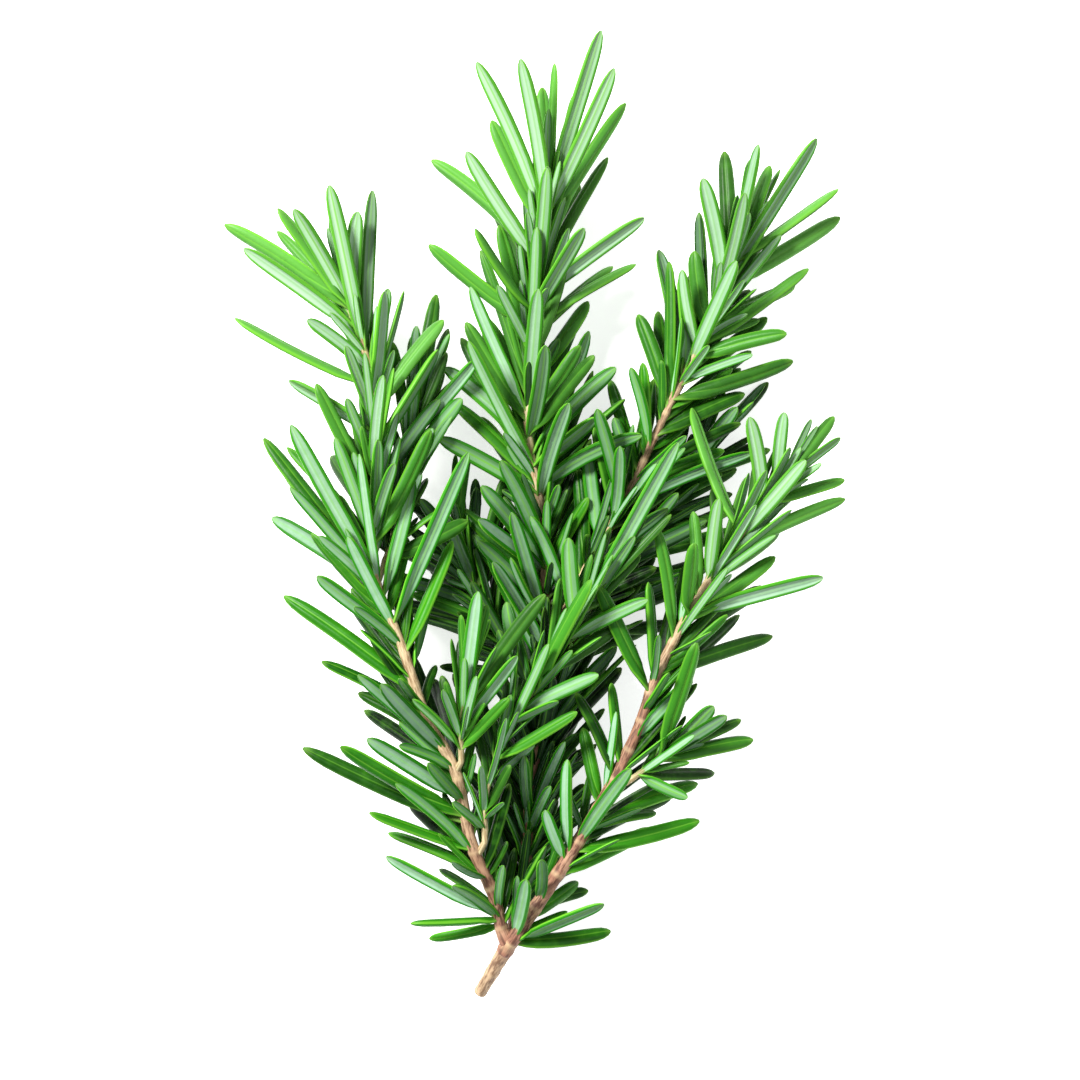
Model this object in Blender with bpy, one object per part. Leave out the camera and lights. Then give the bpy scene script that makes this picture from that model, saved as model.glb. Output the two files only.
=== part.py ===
"""Rosemary sprig: one cut stem with its leafy branches, lying on a level surface.

Lengths in this file's plan are millimetres. The sprig points along +Y, +Z is up from the surface
at z = 0, and +X is to its right. Each leafy branch or side shoot is one solid: a slim stem with
its leaves grown into it. Leaves stand in crossed pairs, longer low down and closer together near
the tip, and small leaves sit in the angles between them.
"""

import math
import random

import bmesh
import bpy
import numpy as np
from mathutils import Vector
from mathutils.bvhtree import BVHTree

MM = 0.001
GAP = 0.3  # kept between the solids of different branches
BLADE_TOP, BLADE_UNDER = 0.6, 0.35  # a blade's ridge over its middle line, and its flat side under it
ROOT_SHARE, TIP_SHARE = 0.38, 0.75  # a blade's width at its root and near its tip
LOW = 0.4  # the lowest that the middle of a blade lies over the surface
SNAP = 0.62  # what is nearer to the surface than this lies flat on it
TRIES = 26  # draws before a leaf that finds no room is left out
STEM_SIDES = 4  # young stems are square, with leaves on their flat sides
HALF_WIDTH, HALF_LENGTH = 55.0, 86.3  # the sprig's outline, about its middle
ROOT_DEPTH = 0.15  # how far out from a stem's middle line a leaf begins, as a share of its radius
CLOSE, SAME_SIDE = 3.6, 0.6  # leaves this near on one side of a stem (mm, cosine) leave no room for another

CUT_END, FORK = (-9.8, -85.2, 3.6), (-5.05, -76.75, 12.0)
BASE_RADIUS = (1.45, 1.6)

# axis: points up the stem; radius: at its foot and tip; bare: length with no leaves; step: between
# leaf pairs, low and high; lean: of the leaves from the stem, in degrees, low and high; length: of
# the leaves, foot to tip; front: share of the leaves facing up that stay, low and high; root: how
# thick a blade is where it starts, as a share of its full thickness; facing: turn of the square
# stem's flat sides, in degrees;
# tips: where the long outer leaves end, and how far up the sprig (y) each leaves the stem.
SHOOTS = {
    "branch_right": {
        "axis": (
            (-4.7, -76.2, 12.6), (-2.3, -72.8, 14.4), (4.9, -62.0, 17), (12.8, -48.7, 20),
            (18.0, -37.9, 22), (21.6, -27.8, 23), (27.9, -15.8, 23), (36.9, -2.3, 22),
            (45.0, 7.6, 20.5),
        ),
        "radius": (1.4, 0.6), "bare": 1.0, "step": (8.0, 2.4), "lean": (42, 26),
        "length": (20, 22, 22, 21, 17), "front": (0.1, 0.8), "seed": 21, "root": 0.76, "facing": 20,
        "tips": (
            (55.0, 3.2, 18, -6), (53.1, 17.9, 15, 4), (47.7, 10.0, 25, -3), (47.3, 5.9, 14, -4),
            (50.9, -10.7, 22, -17), (42.3, -21.2, 12, -28), (44.1, 18.5, 22, 5), (37.8, 17.6, 25, 2),
            (32.4, 3.2, 29, -11), (27.9, -4.6, 31, -18), (11.2, -12.2, 27, -31), (27.9, 19.4, 15, -3),
            (12.2, -68.5, 20, -76), (13.5, -73.9, 9, -76), (7.7, -65.3, 6, -71), (29.2, -53.9, 16, -59),
            (21.6, -52.7, 11, -55), (1.8, -51.8, 22, -61), (5.8, -42.8, 24, -60), (7.2, -31.1, 21, -46),
            (8.5, -37.4, 17, -51), (13.5, -29.3, 25, -45), (9.9, -45.5, 16, -56), (20.0, -11.5, 24, -29),
            (29.0, -47.5, 10, -54), (24.5, -50.0, 7, -58), (41.0, -12.5, 12, -24), (43.5, -2.0, 11, -10),
            (36.5, -17.5, 13, -30), (42.5, -7.0, 17, -18), (27.0, -10.0, -4, -28),
            (1.0, -60.5, 21, -69), (-1.5, -64.0, 18, -73),
        ),
    },
    "branch_left": {
        "axis": (
            (-5.9, -73.4, 12.9), (-7.4, -67.0, 15), (-11.3, -57.7, 18), (-14.0, -45.1, 21),
            (-19.3, -35.0, 22.5), (-23.4, -23.0, 23.5), (-28.1, -10.4, 23), (-28.5, 8.6, 22),
            (-28.6, 22.1, 21), (-30.4, 30.2, 20.5), (-33.3, 38.6, 20),
        ),
        "radius": (1.2, 0.6), "bare": 0.8, "step": (7.8, 2.4), "lean": (46, 28),
        "length": (21, 25, 26, 23, 20), "front": (0.1, 0.8), "seed": 5, "root": 0.65,
        "tips": (
            (-55.0, 51.8, 19, 37), (-51.3, 47.3, 25, 33), (-45.9, 50.9, 15, 34), (-45.4, 54.5, 24, 36),
            (-42.3, 54.1, 28, 37), (-36.2, 58.4, 22, 33), (-31.3, 53.9, 28, 35), (-28.8, 57.9, 13, 32),
            (-26.5, 39.7, 26, 21), (-53.1, 35.2, 20, 23), (-40.1, 34.7, 29, 25), (-43.6, 24.2, 18, 15),
            (-36.5, 17.0, 14, 9), (-48.1, 14.0, 17, -11), (-42.8, 16.1, 27, -10), (-36.4, 10.9, 10, 0),
            (-46.8, -0.1, 13, -12), (-38.3, -10.4, 28, -21), (-44.5, -14.0, 18, -31),
            (-31.1, -27.8, 26, -42), (-27.0, -29.3, 28, -40), (-41.2, -41.0, 16, -54),
            (-34.2, -40.4, 27, -53), (-29.7, -39.2, 21, -50), (-29.3, -52.3, 21, -59),
            (-26.5, -60.4, 13, -71), (-22.1, -72.1, 17, -73), (-18.9, -75.3, 9, -73),
            (-11.7, 11.3, 28, -19), (-10.3, -36.6, 19, -49), (-4.5, -47.2, 20, -63),
            (-7.9, -50.9, 13, -67), (-3.6, -59.0, 14, -71), (-25.5, -33.0, 17, -48),
            (-30.5, -34.5, 12, -46), (-17.1, -63.0, 11, -70), (-14.4, -65.0, 21, -72),
            (-26.1, -56.2, 13, -63), (-37.0, -2.5, 12, -20), (-33.0, -15.0, 12, -30),
            (-5.5, -61.5, 19, -71), (-46.0, 10.5, 13, -13), (-28.5, -45.0, 11, -58),
            (-24.5, -47.0, 24, -60), (-22.5, -51.0, 9, -64),
            (-34.0, 14.0, -4, -6), (-18.5, -29.0, -4, -47),
        ),
    },
    "branch_centre": {
        "axis": (
            (-4.2, -74.8, 10.2), (-1.8, -64.0, 9), (-0.9, -50.9, 9.5), (1.2, -36.0, 10),
            (2.0, -23.9, 10.5), (1.3, -0.5, 11), (-0.9, 12.2, 11.5), (-1.1, 21.2, 12),
            (-0.4, 33.8, 12.5), (0.9, 46.4, 13), (2.7, 59.0, 14),
        ),
        "radius": (1.3, 0.6), "bare": 4.0, "step": (6.4, 2.4), "lean": (46, 20),
        "length": (18, 22, 24, 25, 24), "front": (0.9, 0.5), "seed": 8, "root": 0.6,
        "tips": (
            (11.7, 86.3, 18, 57), (14.0, 79.3, 22, 54), (16.2, 73.9, 13, 52), (13.0, 64.4, 7, 41),
            (19.4, 53.2, 15, 39), (13.9, 44.9, 6, 32), (18.0, 45.1, 11, 34), (8.6, 50.9, 23, 38),
            (-10.3, 80.6, 19, 53), (-2.5, 80.6, 24, 56), (1.3, 76.6, 13, 57), (-7.7, 70.7, 12, 50),
            (-18.5, 63.8, 9, 46), (-12.1, 64.7, 22, 45), (-18.9, 48.5, 13, 34), (-10.6, 50.9, 21, 36),
            (-9.5, 35.9, 6, 22), (-11.7, 31.1, 22, 9), (-16.2, 26.6, 13, 13), (-17.1, 14.0, 16, 4),
            (10.8, 17.6, 21, 9), (14.4, 26.6, 14, 11), (1.8, 30.2, 26, 14), (8.1, 30.5, 14, 17),
            (18.9, 14.5, 20, 5), (6.0, 20.0, 22, 4), (-14.5, 20.5, 9, 6), (-9.5, 5.5, 17, -9),
            (-13.0, 1.5, 8, -12), (9.5, 3.5, 14, -10), (-7.5, -8.0, 19, -24), (-6.0, 10.0, 22, -6),
            (-10.0, -0.5, 21, -8), (7.0, -41.0, -4, -57), (-7.5, 57.0, -4, 38), (8.0, 60.0, -3, 40),
            (16.0, 21.0, 9, 5), (10.5, 28.5, 19, 12), (12.0, -20.0, 7, -38), (15.5, -27.0, 5, -43),
        ),
    },
    "branch_upper_right": {
        "axis": (
            (4.2, -19.8, 12.0), (9.9, -7.7, 13.5), (16.2, 3.2, 14), (20.7, 13.1, 14.5),
            (25.2, 22.6, 15), (30.4, 32.9, 15), (32.9, 39.2, 15), (36.4, 47.6, 15),
        ),
        "radius": (0.9, 0.6), "bare": 4.0, "step": (7.0, 2.3), "lean": (42, 26),
        "length": (20, 22, 23, 22, 20), "front": (0.15, 0.7), "seed": 14, "root": 0.7,
        "tips": (
            (49.9, 67.1, 19, 43), (54.0, 58.4, 14, 45), (54.5, 53.6, 9, 41), (46.4, 41.5, 8, 35),
            (44.6, 32.5, 19, 28), (45.9, 27.8, 14, 21), (39.4, 65.6, 23, 46), (41.8, 62.6, 12, 45),
            (33.8, 65.3, 12, 44), (29.7, 59.9, 21, 41), (28.3, 47.3, 15, 33), (26.1, 43.7, 21, 30),
            (22.1, 47.8, 8, 25), (18.4, 36.1, 12, 20), (13.5, 24.5, 9, 8), (10.6, 16.0, 15, 0),
            (17.0, 26.5, 20, 12), (37.0, 57.0, 24, 40), (35.5, 45.0, 24, 30), (15.0, 12.5, 21, 0),
            (30.6, -0.5, 12, -11), (29.7, 10.0, 9, -2), (23.5, 1.5, 16, -9), (41.0, 51.0, -4, 38),
            (11.0, 19.0, 19, 3),
        ),
    },
    "shoot_left_inner": {
        "axis": ((-13.0, -43.2, 22.6), (-12.9, -36.5, 25), (-11.7, -27.5, 26.5)),
        "radius": (0.75, 0.55), "bare": 2.5, "step": (5.0, 1.8), "lean": (42, 22),
        "length": (15, 17, 16), "front": (0.6, 0.6), "seed": 13, "root": 0.65, "facing": 28,
        "tips": (
            (-9.9, -13.1, 32, -34), (1.8, -13.6, 30, -33), (-3.1, -24.4, 30, -37),
            (-16.5, -28.0, 27, -42),
        ),
    },
    "shoot_middle": {
        "axis": (
            (-8.9, -57.6, 18.7), (-8.6, -49.0, 20.5), (-5.6, -39.6, 22.5), (-0.8, -31.6, 24),
            (3.4, -25.6, 25), (7.0, -19.6, 25.5), (10.5, -13.5, 25.5),
        ),
        "radius": (0.75, 0.55), "bare": 2.5, "step": (7.0, 2.0), "lean": (40, 20),
        "length": (16, 19, 20), "front": (0.4, 0.5), "seed": 2, "root": 0.65, "facing": 66,
        "tips": (
            (25.2, 13.1, 27, -13), (19.8, -14.5, 27, -22), (5.9, -3.7, 29, -19), (-5.0, -15.0, 22, -31),
            (9.9, -11.0, 30, -30),
        ),
    },
    "shoot_left_upper": {
        "axis": ((-26.9, -9.0, 21.4), (-24.4, -0.5, 18.5), (-22.6, 10.4, 16.5), (-21.0, 18.0, 15)),
        "radius": (0.75, 0.55), "bare": 1.5, "step": (5.5, 2.0), "lean": (40, 20),
        "length": (17, 21, 22), "front": (0.6, 0.6), "seed": 4, "root": 0.65,
        "tips": (
            (-17.6, 39.7, 11, 16), (-25.2, 31.0, 17, 12), (-14.4, 19.4, 20, -6), (-16.5, 26.5, 9, 11),
        ),
    },
    "shoot_right_low": {
        "axis": ((16.2, -47.0, 20.6), (20.7, -43.7, 20.5), (25.6, -40.0, 20)),
        "radius": (0.75, 0.55), "bare": 1.5, "step": (4.5, 1.8), "lean": (44, 26),
        "length": (15, 14, 10), "front": (0.5, 0.5), "seed": 6, "root": 0.65, "facing": 20,
        "tips": (
            (38.7, -39.5, 17, -43), (31.5, -33.4, 24, -41), (33.7, -35.0, 21, -41),
            (36.5, -35.9, 18, -41), (31.9, -45.5, 13, -46), (27.0, -49.6, 21, -47),
            (28.4, -22.1, 29, -43),
        ),
    },
    "back_shoot_left": {
        "axis": ((-0.3, -30.0, 9.2), (-7.0, -19.5, 8), (-12.0, -9.4, 7.5), (-14.5, -1.0, 7.5)),
        "radius": (0.75, 0.55), "bare": 3.0, "step": (4.6, 2.0), "lean": (50, 28),
        "length": (18, 19, 18), "front": (0.6, 0.6), "seed": 9, "root": 0.65,
        "tips": (
            (-26.5, -15.5, -1, -20), (-27.0, -10.5, 4, -16), (-22.0, -17.5, 6, -23), (-27.0, -4.0, -3, -12),
            (-17.0, 15.5, 5, 0), (-12.0, 12.0, 12, -2), (-22.0, 8.0, 1, -5),
        ),
    },
    "back_shoot_right": {
        "axis": ((3.8, -28.5, 9.4), (12.5, -12.5, 7.5), (22.5, 2.2, 6.5), (29.7, 11.2, 6)),
        "radius": (0.75, 0.55), "bare": 5.0, "step": (5.0, 2.2), "lean": (50, 30),
        "length": (18, 20, 20), "front": (0.4, 0.4), "seed": 10, "root": 0.65,
        "tips": (
            (38.7, 21.2, 5, 8), (36.0, 19.6, 9, 7), (40.0, 13.0, -3, 2), (22.0, 24.0, 4, 5),
            (33.0, -8.0, -3, -16), (36.0, 2.0, 3, -9), (31.0, -9.0, 5, -18),
        ),
    },
}

# places (x, y, radius) where light comes through the sprig, which no leaf crosses
WINDOWS = (
    (-17.2, 9.0, 1.8), (-17.2, 3.5, 1.0), (-17.6, -23.0, 1.8), (16.3, -34.4, 0.9), (35.1, 14.2, 0.8),
    (35.0, 6.0, 0.8), (24.8, -7.6, 0.8), (16.2, 22.8, 0.6), (20.0, -62.4, 2.6), (-21.5, 37.0, 1.2),
    (-30.5, 45.5, 0.4), (39.0, -28.5, 1.5),
)


def unit(v):
    return v / max(float(np.linalg.norm(v)), 1e-9)


def along(values, share):
    """The value at this share of the way through an evenly spaced list."""
    return float(np.interp(share, np.linspace(0, 1, len(values)), values))


class Axis:
    """A smooth line through the points of a stem, read by distance from its foot."""

    def __init__(self, points):
        p = np.array(points, float)
        p = np.vstack([2 * p[0] - p[1], p, 2 * p[-1] - p[-2]])
        t = np.linspace(0, 1, 12, endpoint=False)[:, None]
        runs = [
            0.5 * (2 * b + (c - a) * t + (2 * a - 5 * b + 4 * c - d) * t**2 + (3 * b - a - 3 * c + d) * t**3)
            for a, b, c, d in zip(p, p[1:], p[2:], p[3:])
        ]
        self.points = np.vstack(runs + [p[-2:-1]])
        steps = np.linalg.norm(np.diff(self.points, axis=0), axis=1)
        self.distance = np.concatenate([[0], np.cumsum(steps)])
        self.length = float(self.distance[-1])

    def at(self, s):
        return np.array([np.interp(s, self.distance, self.points[:, i]) for i in range(3)])

    def frame(self, s):
        """Along the stem, to its right and up from it."""
        ahead = unit(self.at(min(s + 1.5, self.length)) - self.at(max(s - 1.5, 0)))
        right = unit(np.cross(ahead, (0, 0, 1)))
        return ahead, right, np.cross(right, ahead)


def spine_of(leaf, shares):
    """Points down the middle of a blade: one easy curve, lying along the surface where it meets it."""
    t = np.asarray(shares, float)[:, None]
    p = (1 - t) ** 2 * leaf["root"] + 2 * t * (1 - t) * leaf["elbow"] + t**2 * leaf["tip"]
    over = p[:, 2] - LOW
    p[:, 2] = LOW + 0.5 * (over + np.sqrt(over**2 + 0.6))
    return p


def frames_of(leaf, shares):
    """Points down the middle of a blade, with the ways to its side and out of its upper face."""
    p = spine_of(leaf, shares)
    ahead = spine_of(leaf, np.minimum(np.asarray(shares) + 0.04, 1.0))
    behind = spine_of(leaf, np.maximum(np.asarray(shares) - 0.04, 0.0))
    run = ahead - behind
    run /= np.linalg.norm(run, axis=1)[:, None]
    turned = np.clip(np.asarray(shares, float) / 0.3, 0, 1)[:, None]
    face = leaf["inner"] * (1 - leaf["turn"] * turned) + leaf["outer"] * leaf["turn"] * turned
    flat = np.clip((3.0 - p[:, 2:3]) / 2.0, 0, 1) * 4.0
    face = face + flat * np.array([0, 0, 1.0 if leaf["outer"][2] >= 0 else -1.0])
    face = face - (face * run).sum(axis=1)[:, None] * run
    face /= np.linalg.norm(face, axis=1)[:, None]
    return p, np.cross(run, face), face


def blade_of(leaf, shares=(0.0, 0.4, 0.87), swell=0.0, root=0.65):
    """A blade's closed mesh: three-sided rings, flat below and ridged above, drawn in to a tip."""
    p, side, face = frames_of(leaf, tuple(shares) + (1.0,))
    half = 0.5 * leaf["width"]
    rows = []
    for i, t in enumerate(shares):
        wide = half * (ROOT_SHARE if t < 0.05 else TIP_SHARE if t > 0.7 else 1.0) + swell
        thick = root if t < 0.05 else 1.0
        below = p[i] - face[i] * (BLADE_UNDER * thick + swell)
        above = p[i] + face[i] * (BLADE_TOP * thick + swell)
        rows += [below - side[i] * wide, above, below + side[i] * wide]
    rows.append(p[-1])
    points = np.array(rows)
    if not swell:
        points[:, 2] = np.where(points[:, 2] < SNAP, 0.0, points[:, 2])
    rings = len(shares)
    faces = [(2, 1, 0)]
    for r in range(rings - 1):
        for k in range(3):
            a, b = 3 * r + k, 3 * r + (k + 1) % 3
            faces += [(a, b, b + 3), (a, b + 3, a + 3)]
    last = 3 * (rings - 1)
    faces += [(last + k, last + (k + 1) % 3, 3 * rings) for k in range(3)]
    return points, faces


def tube_of(axis, radii, sides, rings, swell=0.0, facing=0.0):
    """A stem's closed mesh, narrowing from its foot to its tip."""
    points, faces = [], []
    for i in range(rings):
        s = axis.length * i / (rings - 1)
        ahead, right, up = axis.frame(s)
        r = along(radii, i / (rings - 1)) + swell
        turn = [2 * math.pi * (k + 0.5) / sides + math.radians(facing) for k in range(sides)]
        points += [axis.at(s) + r * (math.cos(a) * right + math.sin(a) * up) for a in turn]
    for i in range(rings - 1):
        for k in range(sides):
            a, b = i * sides + k, i * sides + (k + 1) % sides
            faces += [(a, b + sides, b), (a, a + sides, b + sides)]
    faces += [(0, k, k + 1) for k in range(1, sides - 1)]
    last = (rings - 1) * sides
    faces += [(last, last + k + 1, last + k) for k in range(1, sides - 1)]
    return np.array(points), faces


def tree_of(points, faces):
    return BVHTree.FromPolygons([tuple(map(float, p)) for p in points], faces)


class Sprig:
    """Every leaf placed so far, with what is needed to keep the next one clear of them."""

    def __init__(self):
        self.axes = {name: Axis(shoot["axis"]) for name, shoot in SHOOTS.items()}
        self.leaves = []
        self.stems = {"stem_base": tree_of(*tube_of(Axis((CUT_END, FORK)), BASE_RADIUS, 8, 3, GAP))}
        for name, axis in self.axes.items():
            points, faces = tube_of(axis, SHOOTS[name]["radius"], 6, 24, GAP)
            self.stems[name] = tree_of(points, faces)

    def clear(self, leaf, crowded=False):
        """Whether a leaf has room: it may only meet the other leaves of its own stem at their roots."""
        own = leaf["shoot"]
        if abs(leaf["tip"][0]) > HALF_WIDTH or abs(leaf["tip"][1]) > HALF_LENGTH:
            return False
        plan = spine_of(leaf, (0.2, 0.35, 0.5, 0.65, 0.8, 0.92, 1.0))[:, :2]
        for x, y, radius in WINDOWS:
            if np.hypot(plan[:, 0] - x, plan[:, 1] - y).min() < radius + 0.4 * leaf["width"]:
                return False
        whole = tree_of(*blade_of(leaf, (0.0, 0.2, 0.4, 0.65, 0.85), GAP / 2))
        free = tree_of(*blade_of(leaf, (leaf["out_of_stem"], 0.4, 0.65, 0.85), GAP / 2))
        far = tree_of(*blade_of(leaf, (0.25, 0.4, 0.65, 0.85), GAP / 2))
        if far.overlap(self.stems[own]):
            return False
        if any(whole.overlap(tree) for name, tree in self.stems.items() if name != own):
            return False
        middle = 0.5 * (leaf["root"] + leaf["tip"])
        for other in self.leaves:
            if np.linalg.norm(middle - other["middle"]) > 0.56 * (leaf["length"] + other["length"]) + 2:
                continue
            if other["shoot"] == own:
                if (far if crowded else free).overlap(other["far" if crowded else "free"]):
                    return False
            elif whole.overlap(other["whole"]):
                return False
        leaf.update(middle=middle, whole=whole, free=free, far=far)
        return True

    def add(self, draw, pressed=False):
        """Places the first of a run of draws that has room, pressed in among its neighbours at last."""
        for attempt in range(TRIES):
            leaf = draw(attempt / TRIES)
            if self.clear(leaf, pressed and attempt > TRIES // 2):
                self.leaves.append(leaf)
                return True
        return False


def leaf_between(shoot, station, axis, tip, width, chance):
    """A leaf from a stem to a point, with its face turned up or down as chance has it."""
    middle = axis.at(station)
    ahead, _, _ = axis.frame(station)
    reach = tip - middle
    out = unit(reach - np.dot(reach, ahead) * ahead)
    radius = along(SHOOTS[shoot]["radius"], station / axis.length)
    root = middle + ROOT_DEPTH * radius * out
    reach = tip - root
    length = float(np.linalg.norm(reach))
    run = reach / length
    out_of_stem = ((1 - ROOT_DEPTH) * radius / max(float(np.dot(run, out)), 0.25) + 0.8) / length
    sag = chance.uniform(-0.14, 0.3)
    sway = chance.uniform(-0.1, 0.1)
    elbow = root + 0.5 * length * unit(run + sag * ahead + sway * np.cross(run, ahead))
    inner = unit(np.dot(run, out) * ahead - np.dot(run, ahead) * out)
    up = np.array([0, 0, 1.0])
    rise = out[2]
    shown = -1.0 if chance.random() < 0.42 + 0.6 * rise else 1.0
    return {
        "shoot": shoot, "station": station, "root": root, "elbow": elbow, "tip": tip, "inner": inner,
        "out": out, "out_of_stem": min(out_of_stem, 0.25),
        "outer": unit(shown * up + 0.15 * inner), "turn": chance.uniform(0.7, 1.0),
        "width": width, "length": length, "shown": shown,
    }


def outer_leaf(sprig, shoot, spot, chance):
    """A long leaf that ends at a given point, from a given height up the sprig."""
    axis, plan = sprig.axes[shoot], SHOOTS[shoot]
    tip = np.array(spot[:3], float)
    station = float(np.interp(spot[3], axis.points[:, 1], axis.distance))
    width = chance.uniform(3.1, 4.1)

    def draw(more):
        lift = np.array([0, 0, more * chance.uniform(-9, 9)])
        at = station + more * chance.uniform(-3.5, 3.5)
        at = max(at, plan["bare"] + chance.uniform(0, 1.5))
        at = min(at, axis.length - chance.uniform(0.7, 2.4))
        return leaf_between(shoot, at, axis, tip + lift, width * (1 - 0.25 * more), chance)

    return sprig.add(draw, pressed=True)


def taken(sprig, shoot, station, azimuth):
    """Whether a long leaf already stands about here on this side of the stem."""
    ahead, right, up = sprig.axes[shoot].frame(station)
    out = math.cos(math.radians(azimuth)) * right + math.sin(math.radians(azimuth)) * up
    return any(
        leaf["shoot"] == shoot and abs(leaf["station"] - station) < CLOSE
        and np.dot(leaf["out"], out) > SAME_SIDE
        for leaf in sprig.leaves
    )


def rule_leaf(sprig, shoot, station, azimuth, size, chance):
    axis, plan = sprig.axes[shoot], SHOOTS[shoot]
    share = station / axis.length
    lean = along(plan["lean"], share)
    full = along(plan["length"], share)

    def draw(more):
        spread = 7 + 34 * more
        turn = math.radians(azimuth + chance.uniform(-spread, spread))
        tilt = math.radians(lean + chance.uniform(-8, 8) * (1 + 1.4 * more))
        ahead, right, up = axis.frame(station)
        out = math.cos(turn) * right + math.sin(turn) * up
        length = full * size * chance.uniform(0.88, 1.1) * (1 - 0.3 * more)
        tip = axis.at(station) + length * (math.cos(tilt) * ahead + math.sin(tilt) * out)
        width = chance.uniform(2.8, 3.8) * (0.6 + 0.4 * min(size, 1.0))
        return leaf_between(shoot, station, axis, tip, width, chance)

    return sprig.add(draw)


def pairs_of(shoot, axis):
    """The stations of a stem's leaf pairs, closer and closer to its tip."""
    plan, s, stations = SHOOTS[shoot], SHOOTS[shoot]["bare"], []
    while s < axis.length - 0.8:
        stations.append(s)
        s += along(plan["step"], s / axis.length)
    return stations


def grow():
    """The sprig's leaves: the outermost first, then the pairs, then the small ones in their angles."""
    sprig = Sprig()
    chance = {name: random.Random(shoot["seed"]) for name, shoot in SHOOTS.items()}
    for name, shoot in SHOOTS.items():
        for tip in shoot["tips"]:
            outer_leaf(sprig, name, tip, chance[name])
    for name, shoot in SHOOTS.items():
        axis, draw = sprig.axes[name], chance[name]
        for k, station in enumerate(pairs_of(name, axis)):
            first = 90 * (k % 2) + draw.uniform(-14, 14)
            for azimuth in (first, first + 180):
                kept = draw.random() < along(shoot["front"], station / axis.length)
                if math.sin(math.radians(azimuth)) > 0.75 and not kept:
                    continue
                if not taken(sprig, name, station, azimuth):
                    rule_leaf(sprig, name, station, azimuth, 0.9, draw)
    for name, shoot in SHOOTS.items():
        axis, draw = sprig.axes[name], chance[name]
        for k, station in enumerate(pairs_of(name, axis)):
            first = 90 * (k % 2) + 45
            for azimuth in (first, first + 90, first + 180, first + 270):
                kept = draw.random() < along(shoot["front"], station / axis.length)
                if math.sin(math.radians(azimuth)) > 0.6 and not kept:
                    continue
                at = min(station + draw.uniform(0.9, 2.4), axis.length - 0.5)
                rule_leaf(sprig, name, at, azimuth + draw.uniform(-20, 20), draw.uniform(0.4, 0.72), draw)
    return sprig


def material(name, colour, roughness):
    made = bpy.data.materials.new(name)
    made.use_nodes = True
    shader = made.node_tree.nodes["Principled BSDF"]
    shader.inputs["Base Color"].default_value = (*colour, 1)
    shader.inputs["Roughness"].default_value = roughness
    shader.inputs["Metallic"].default_value = 0.0
    return made


def mesh_object(name, points, faces, into, look):
    mesh = bpy.data.meshes.new(name)
    mesh.from_pydata([Vector(map(float, p)) * MM for p in points], [], faces)
    mesh.materials.append(look)
    made = bpy.data.objects.new(name, mesh)
    into.objects.link(made)
    form = bmesh.new()
    form.from_mesh(mesh)
    bmesh.ops.recalc_face_normals(form, faces=form.faces)
    form.to_mesh(mesh)
    form.free()
    return made


def solid_only(mesh):
    """Drops the walls of any hollow that the joined leaves close in, and any loose scrap."""
    form = bmesh.new()
    form.from_mesh(mesh)
    unseen, shells = set(form.faces), []
    while unseen:
        shell, edge = set(), [unseen.pop()]
        while edge:
            face = edge.pop()
            shell.add(face)
            near = {other for side in face.edges for other in side.link_faces} & unseen
            unseen -= near
            edge += list(near)
        shells.append(shell)
    body = max(shells, key=len)
    spare = [face for shell in shells if shell is not body for face in shell]
    bmesh.ops.delete(form, geom=spare, context="FACES")
    form.to_mesh(mesh)
    form.free()
    return mesh


def leafy_stem(name, axis, leaves, into, look):
    """A stem with its leaves joined to it in one closed solid."""
    rings = max(4, round(axis.length / 7))
    plan = SHOOTS[name]
    tube = tube_of(axis, plan["radius"], STEM_SIDES, rings, facing=plan.get("facing", 0.0))
    stem = mesh_object(name, *tube, into, look)
    blades = bpy.data.collections.new(name + "_leaves")
    into.children.link(blades)
    for leaf in leaves:
        mesh_object(name + "_leaf", *blade_of(leaf, root=plan["root"]), blades, look)
    join = stem.modifiers.new("leaves", "BOOLEAN")
    join.operation = "UNION"
    join.operand_type = "COLLECTION"
    join.collection = blades
    join.solver = "MANIFOLD"
    bpy.context.view_layer.update()
    graph = bpy.context.evaluated_depsgraph_get()
    joined = solid_only(bpy.data.meshes.new_from_object(stem.evaluated_get(graph)))
    for blade in list(blades.objects):
        bpy.data.objects.remove(blade)
    bpy.data.collections.remove(blades)
    stem.modifiers.clear()
    stem.data = joined
    return stem


def main():
    for old in list(bpy.data.objects):
        bpy.data.objects.remove(old)
    scene = bpy.context.scene.collection
    bark = material("bark", (0.33, 0.2, 0.11), 0.75)
    leaf_green = material("leaf", (0.05, 0.2, 0.015), 0.45)
    base = Axis((CUT_END, FORK))
    mesh_object("stem_base", *tube_of(base, BASE_RADIUS, 12, 4), scene, bark)
    sprig = grow()
    for name, axis in sprig.axes.items():
        leaves = [leaf for leaf in sprig.leaves if leaf["shoot"] == name]
        leafy_stem(name, axis, leaves, scene, leaf_green)


main()
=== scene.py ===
"""Rosemary sprig: the look of a freshly cut sprig, lying on a pale surface.

Lengths in the plans are millimetres. The sprig points along +Y, +Z is up from the surface at z = 0.
Leaves are placed by the same rule and the same draws as the part's own leaves, so each one here
grows over its plainer blade there.
"""

import math
import random

import bpy
import numpy as np
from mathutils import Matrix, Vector
from mathutils.bvhtree import BVHTree


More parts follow.
